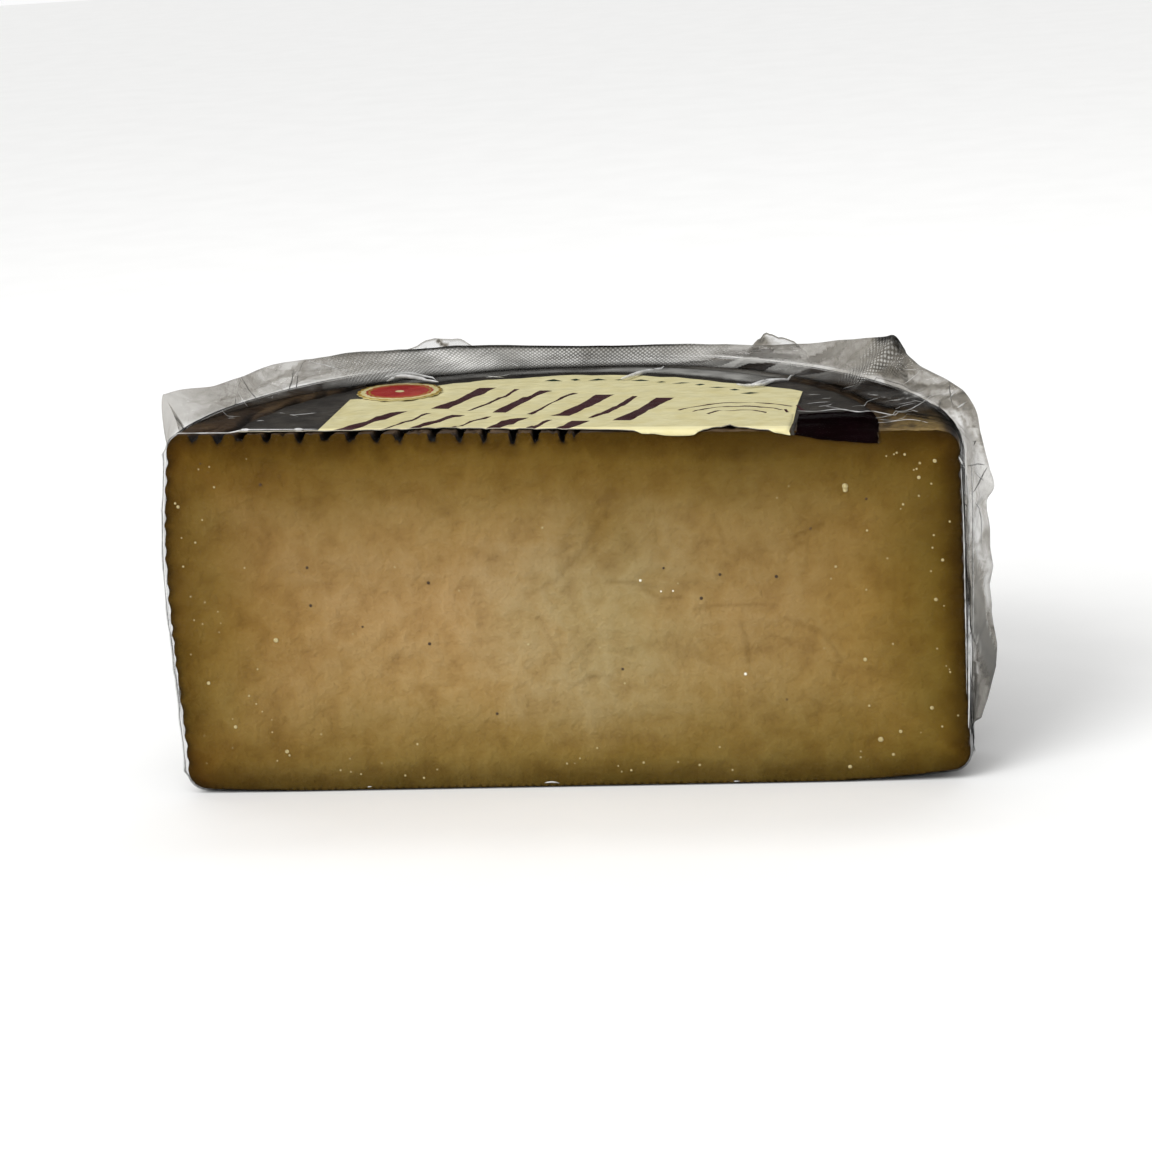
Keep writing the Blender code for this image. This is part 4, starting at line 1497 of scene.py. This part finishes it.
def make_rind():
    """Oiled natural rind: dark brown crests, hollows painted darker as shade, uneven from
    handling.
    """
    material, tree, place = start_material("oiled_cheese_rind")
    cloud = noise_of(tree, place, 18, 6, Distortion=0.8)
    crest = ramp(tree, cloud, ((0.3, "#33261a"), (0.5, "#4c3a27"), (0.66, "#645036"),
                               (0.8, "#4c3925")))
    crest = mix(tree, spot(tree, place, 91, 92, 16, 34), crest, colour("#927a46"))
    # Painted shade: the deeper a place lies below the rind's crests, the darker it is.
    hollow = ramp(tree, value_of(tree, "hollow"), ((0, "#ffffff"), (0.4, "#8c8478"),
                                                   (1, "#3a342d")), 0, 1.4)
    speck = noise_of(tree, place, 1.4, 4)
    specks = ramp(tree, speck, ((0.35, "#8a8074"), (0.62, "#ffffff")))
    body = times(tree, times(tree, crest, hollow), specks, 0.6)
    finish_solid(tree, body, rescale(tree, cloud, 0, 1, 0.42, 0.7),
                 {"Specular IOR Level": 0.1, "Normal": bump_of(tree, speck, 0.6, 0.25)})
    return material


def make_paper(name, ink, worn_ink, roughness=0.5, gloss=0.03):
    """Coated label paper: an even ink with faint rubbing, slightly glossy."""
    material, tree, place = start_material(name)
    body = ramp(tree, noise_of(tree, place, 7, 6, Roughness=0.65), ((0.4, ink), (0.7, worn_ink)))
    fibre = bump_of(tree, noise_of(tree, place, 0.7, 3), 0.2, 0.05)
    finish_solid(tree, body, roughness, {"Specular IOR Level": gloss, "Normal": fibre})
    return material


def make_two_tone(name, size, detail, stops, roughness, looks=()):
    """One soft pattern of a size in millimetres between two tones."""
    material, tree, place = start_material(name)
    finish_solid(tree, ramp(tree, noise_of(tree, place, size, detail), stops), roughness, looks)
    return material


def make_grain(name, low, high, roughness):
    """Small grains in the paste: chalky crystals, painted glints, and the painted shadow in a
    pit.
    """
    return make_two_tone(name, 0.5, 2, ((0.3, low), (0.7, high)), roughness)


def make_crease(name, low, high):
    """A sharp crease of the film: a thin line painted as a highlight or as shade."""
    return make_two_tone(name, 3, 2, ((0.35, low), (0.65, high)), 0.25, {"Alpha": 0.5})


def blend(tree, share, first, second):
    """One shader from two, by a share."""
    return add(tree, "ShaderNodeMixShader", {0: share, 1: first.outputs[0], 2: second.outputs[0]})


def make_film():
    """Vacuum-bag film: see-through and glossy, seen from outside as from inside.

    FILM_VALUES tells what its attributes are. Raised dots of the embossing are painted as
    milky highlights, and the hollows between them painted darker as shade. It shines more where
    it stands off the cheese.
    """
    material, tree, place = start_material("vacuum_film")
    veil, shade, gleam, dimpled, run, up = (value_of(tree, label) for label in FILM_VALUES)
    along = add(tree, "ShaderNodeCombineXYZ", {"X": run, "Y": up}).outputs[0]
    lattice = mapping(tree, along, (1 / DIMPLE_PITCH, 1 / DIMPLE_PITCH, 1),
                      Rotation=(0, 0, math.pi / 4))
    dots = add(tree, "ShaderNodeTexVoronoi", {"Vector": lattice, "Scale": 1,
                                              "Randomness": 0.12}, voronoi_dimensions="2D")
    raised = rescale(tree, dots.outputs["Distance"], 0.2, 0.45, 1, 0)
    dotted = maths(tree, "MULTIPLY", raised, dimpled)
    patches = noise_of(tree, place, 16, 2, Distortion=0.4)
    # Painted light: the raised dots, and the gleam, as milky white highlights, and the hollows
    # between the dots as darker shade.
    sparkle = maths(tree, "MULTIPLY_ADD", dotted,
                    rescale(tree, patches, 0.35, 0.65, 0.2, 0.5), gleam)
    hollow = maths(tree, "SUBTRACT", dimpled, dotted)
    cloudy = ramp(tree, patches, ((0.35, "#a6a5a0"), (0.65, "#cecdc8")))
    milk = mix(tree, sparkle, cloudy, colour("#f8f8f6"))
    bare = ramp(tree, maths(tree, "MULTIPLY_ADD", hollow, 0.3, shade),
                ((0, "#ffffff"), (0.5, "#b6b2ab"), (1, "#4a4843")))
    ripples = bump_of(tree, noise_of(tree, place, 5, 2, Distortion=0.6), 0.3, 0.5)
    body = blend(tree, maths(tree, "ADD", veil, sparkle, clamp=True),
                 add(tree, "ShaderNodeBsdfTransparent", {"Color": bare}),
                 add(tree, "ShaderNodeBsdfDiffuse", {"Color": milk, "Normal": ripples}))
    streaky = noise_of(tree, mapping(tree, place, (1 / 22, 1 / 6, 1 / 12)), 1, 5, Roughness=0.6)
    tight = ramp(tree, streaky, ((0.46, "#080808"), (0.62, "#444444")))
    loose = ramp(tree, streaky, ((0.48, "#707070"), (0.66, "#b8b8b8")))
    wet = mix(tree, rescale(tree, shade, 0, 0.3), tight, loose)
    shine = add(tree, "ShaderNodeBsdfGlossy", {"Color": wet, "Roughness": 0.14,
                                               "Normal": ripples})
    back = add(tree, "ShaderNodeNewGeometry").outputs["Backfacing"]
    mirror = add(tree, "ShaderNodeFresnel", {
        "IOR": rescale(tree, back, 0, 1, FILM_IOR, 1 / FILM_IOR), "Normal": ripples})
    finish(tree, blend(tree, mirror.outputs[0], body, shine))
    return material


# Studio

FLOOR_REACH = 4
LAMP_TARGET = Vector((0, 0, 0.05))
TUBE = {"shape": "RECTANGLE", "size": 1.6, "size_y": 0.05}
SURROUND_LIGHT = 0.62
SURROUND_SEEN = 1


def make_floor():
    """A plain pale floor."""
    mesh = bpy.data.meshes.new("floor")
    mesh.from_pydata([(x * FLOOR_REACH, y * FLOOR_REACH, 0)
                      for x, y in ((-1, -1), (1, -1), (1, 1), (-1, 1))], [], [(0, 1, 2, 3)])
    mesh.materials.append(make_two_tone("pale_floor", 40, 3, ((0.3, "#f4f4f3"),
                                                              (0.7, "#f7f7f6")), 0.6))
    put("floor", mesh)


def aim(place, target):
    """A matrix at a place that looks at a target."""
    back = (place - target).normalized()
    matrix = back.to_track_quat("Z", "Y").to_matrix().to_4x4()
    matrix.translation = place
    return matrix


def make_lamp(name, kind, place, power, **settings):
    lamp = bpy.data.lights.new(name, kind)
    lamp.energy = power
    for key, value in settings.items():
        setattr(lamp, key, value)
    put(name, lamp).matrix_world = aim(Vector(place), LAMP_TARGET)


def make_lights():
    """Two lamp tubes overhead, soft daylight from the upper left and a white surround."""
    make_lamp("front_tube", "AREA", (-0.25, -0.5, 1.3), 3.2, **TUBE)
    make_lamp("rear_tube", "AREA", (-0.1, 0.45, 1.2), 3.2, **TUBE)
    make_lamp("daylight", "SUN", (-1.6, -1.9, 1.9), 2, angle=math.radians(35))
    world = bpy.data.worlds.new("surround")
    world.use_nodes = True
    sky = world.node_tree
    seen = add(sky, "ShaderNodeLightPath").outputs["Is Camera Ray"]
    background = sky.nodes["Background"]
    background.inputs["Color"].default_value = colour("#fdfdfd")
    sky.links.new(rescale(sky, seen, 0, 1, SURROUND_LIGHT, SURROUND_SEEN),
                  background.inputs["Strength"])
    bpy.context.scene.world = world


# The camera stands a little to the right of the cut face and looks down on it, slightly
# rolled, as a hand-held phone does.
CAMERA_TURN = 9.35
CAMERA_RISE = 14.89
CAMERA_ROLL = -4.13
CAMERA_DISTANCE = 710.66
CAMERA_TARGET = Vector((3.858, 0, 55.71))
CAMERA_FOCUS_PIXELS = 2839
IMAGE_PIXELS = 1152


def make_camera():
    turn, rise = math.radians(CAMERA_TURN), math.radians(CAMERA_RISE)
    back = Vector((math.sin(turn) * math.cos(rise), -math.cos(turn) * math.cos(rise),
                   math.sin(rise)))
    place = (CAMERA_TARGET + back * CAMERA_DISTANCE) * MM + ORIGIN
    lens = bpy.data.cameras.new("camera")
    lens.sensor_width = 36
    lens.lens = CAMERA_FOCUS_PIXELS / IMAGE_PIXELS * lens.sensor_width
    camera = put("camera", lens)
    roll = Matrix.Rotation(math.radians(CAMERA_ROLL), 4, "Z")
    camera.matrix_world = aim(place, CAMERA_TARGET * MM + ORIGIN) @ roll
    bpy.context.scene.camera = camera


def main():
    make_camera()
    build_cheese(make_rind(), make_paste())
    uneven = random.Random(CRYSTAL_SEED)
    pit_shadows = [(x, z, uneven.uniform(*PIT_SIZES)) for x, z in PITS]
    for name, places, material, flatness in (
            ("crystals", list(CRYSTALS) + small_crystals(),
             make_grain("paste_crystal", "#9c8a58", "#cabb88", 0.5), 0.35),
            ("painted_glints", GLINT_GRAINS,
             make_grain("painted_glint", "#efe9d2", "#fffdf0", 0.15), 0.5),
            ("pit_shadows", pit_shadows, make_grain("pit_shadow", "#2c1c0c", "#4a3418", 0.7), 0.3)):
        scatter(name, places, material, flatness)
    build_label((make_paper("slate_ink_paper", "#312e2b", "#47433d"),
                 make_paper("cream_ink_paper", "#e6deaf", "#ddd29c"),
                 make_paper("maroon_ink_paper", "#391a1c", "#46262a"),
                 make_paper("dark_green_ink_paper", "#22301f", "#2f3b2a"),
                 make_paper("wine_black_ink_paper", "#060202", "#0e0406", gloss=0),
                 make_paper("bare_paper", "#bdb7a6", "#aca690", 0.7)))
    build_seal((make_paper("red_seal_ink", "#9a1614", "#b03a30", 0.3),
                make_paper("cream_seal_ink", "#d9cf9d", "#cbbd80", 0.3),
                make_paper("gold_seal_ink", "#a9892f", "#8f7126", 0.3)))
    film = make_film()
    tight_film = build_skin(film)
    standing_film = build_fold(film)
    build_peaks(film)
    build_creases(film_surface((tight_film, standing_film)),
                  make_crease("film_crease_glint", "#b8b8b4", "#ffffff"),
                  make_crease("film_crease_shadow", "#24221e", "#3c3a34"))
    make_floor()
    make_lights()
    bpy.context.scene.view_settings.view_transform = "Standard"


main()
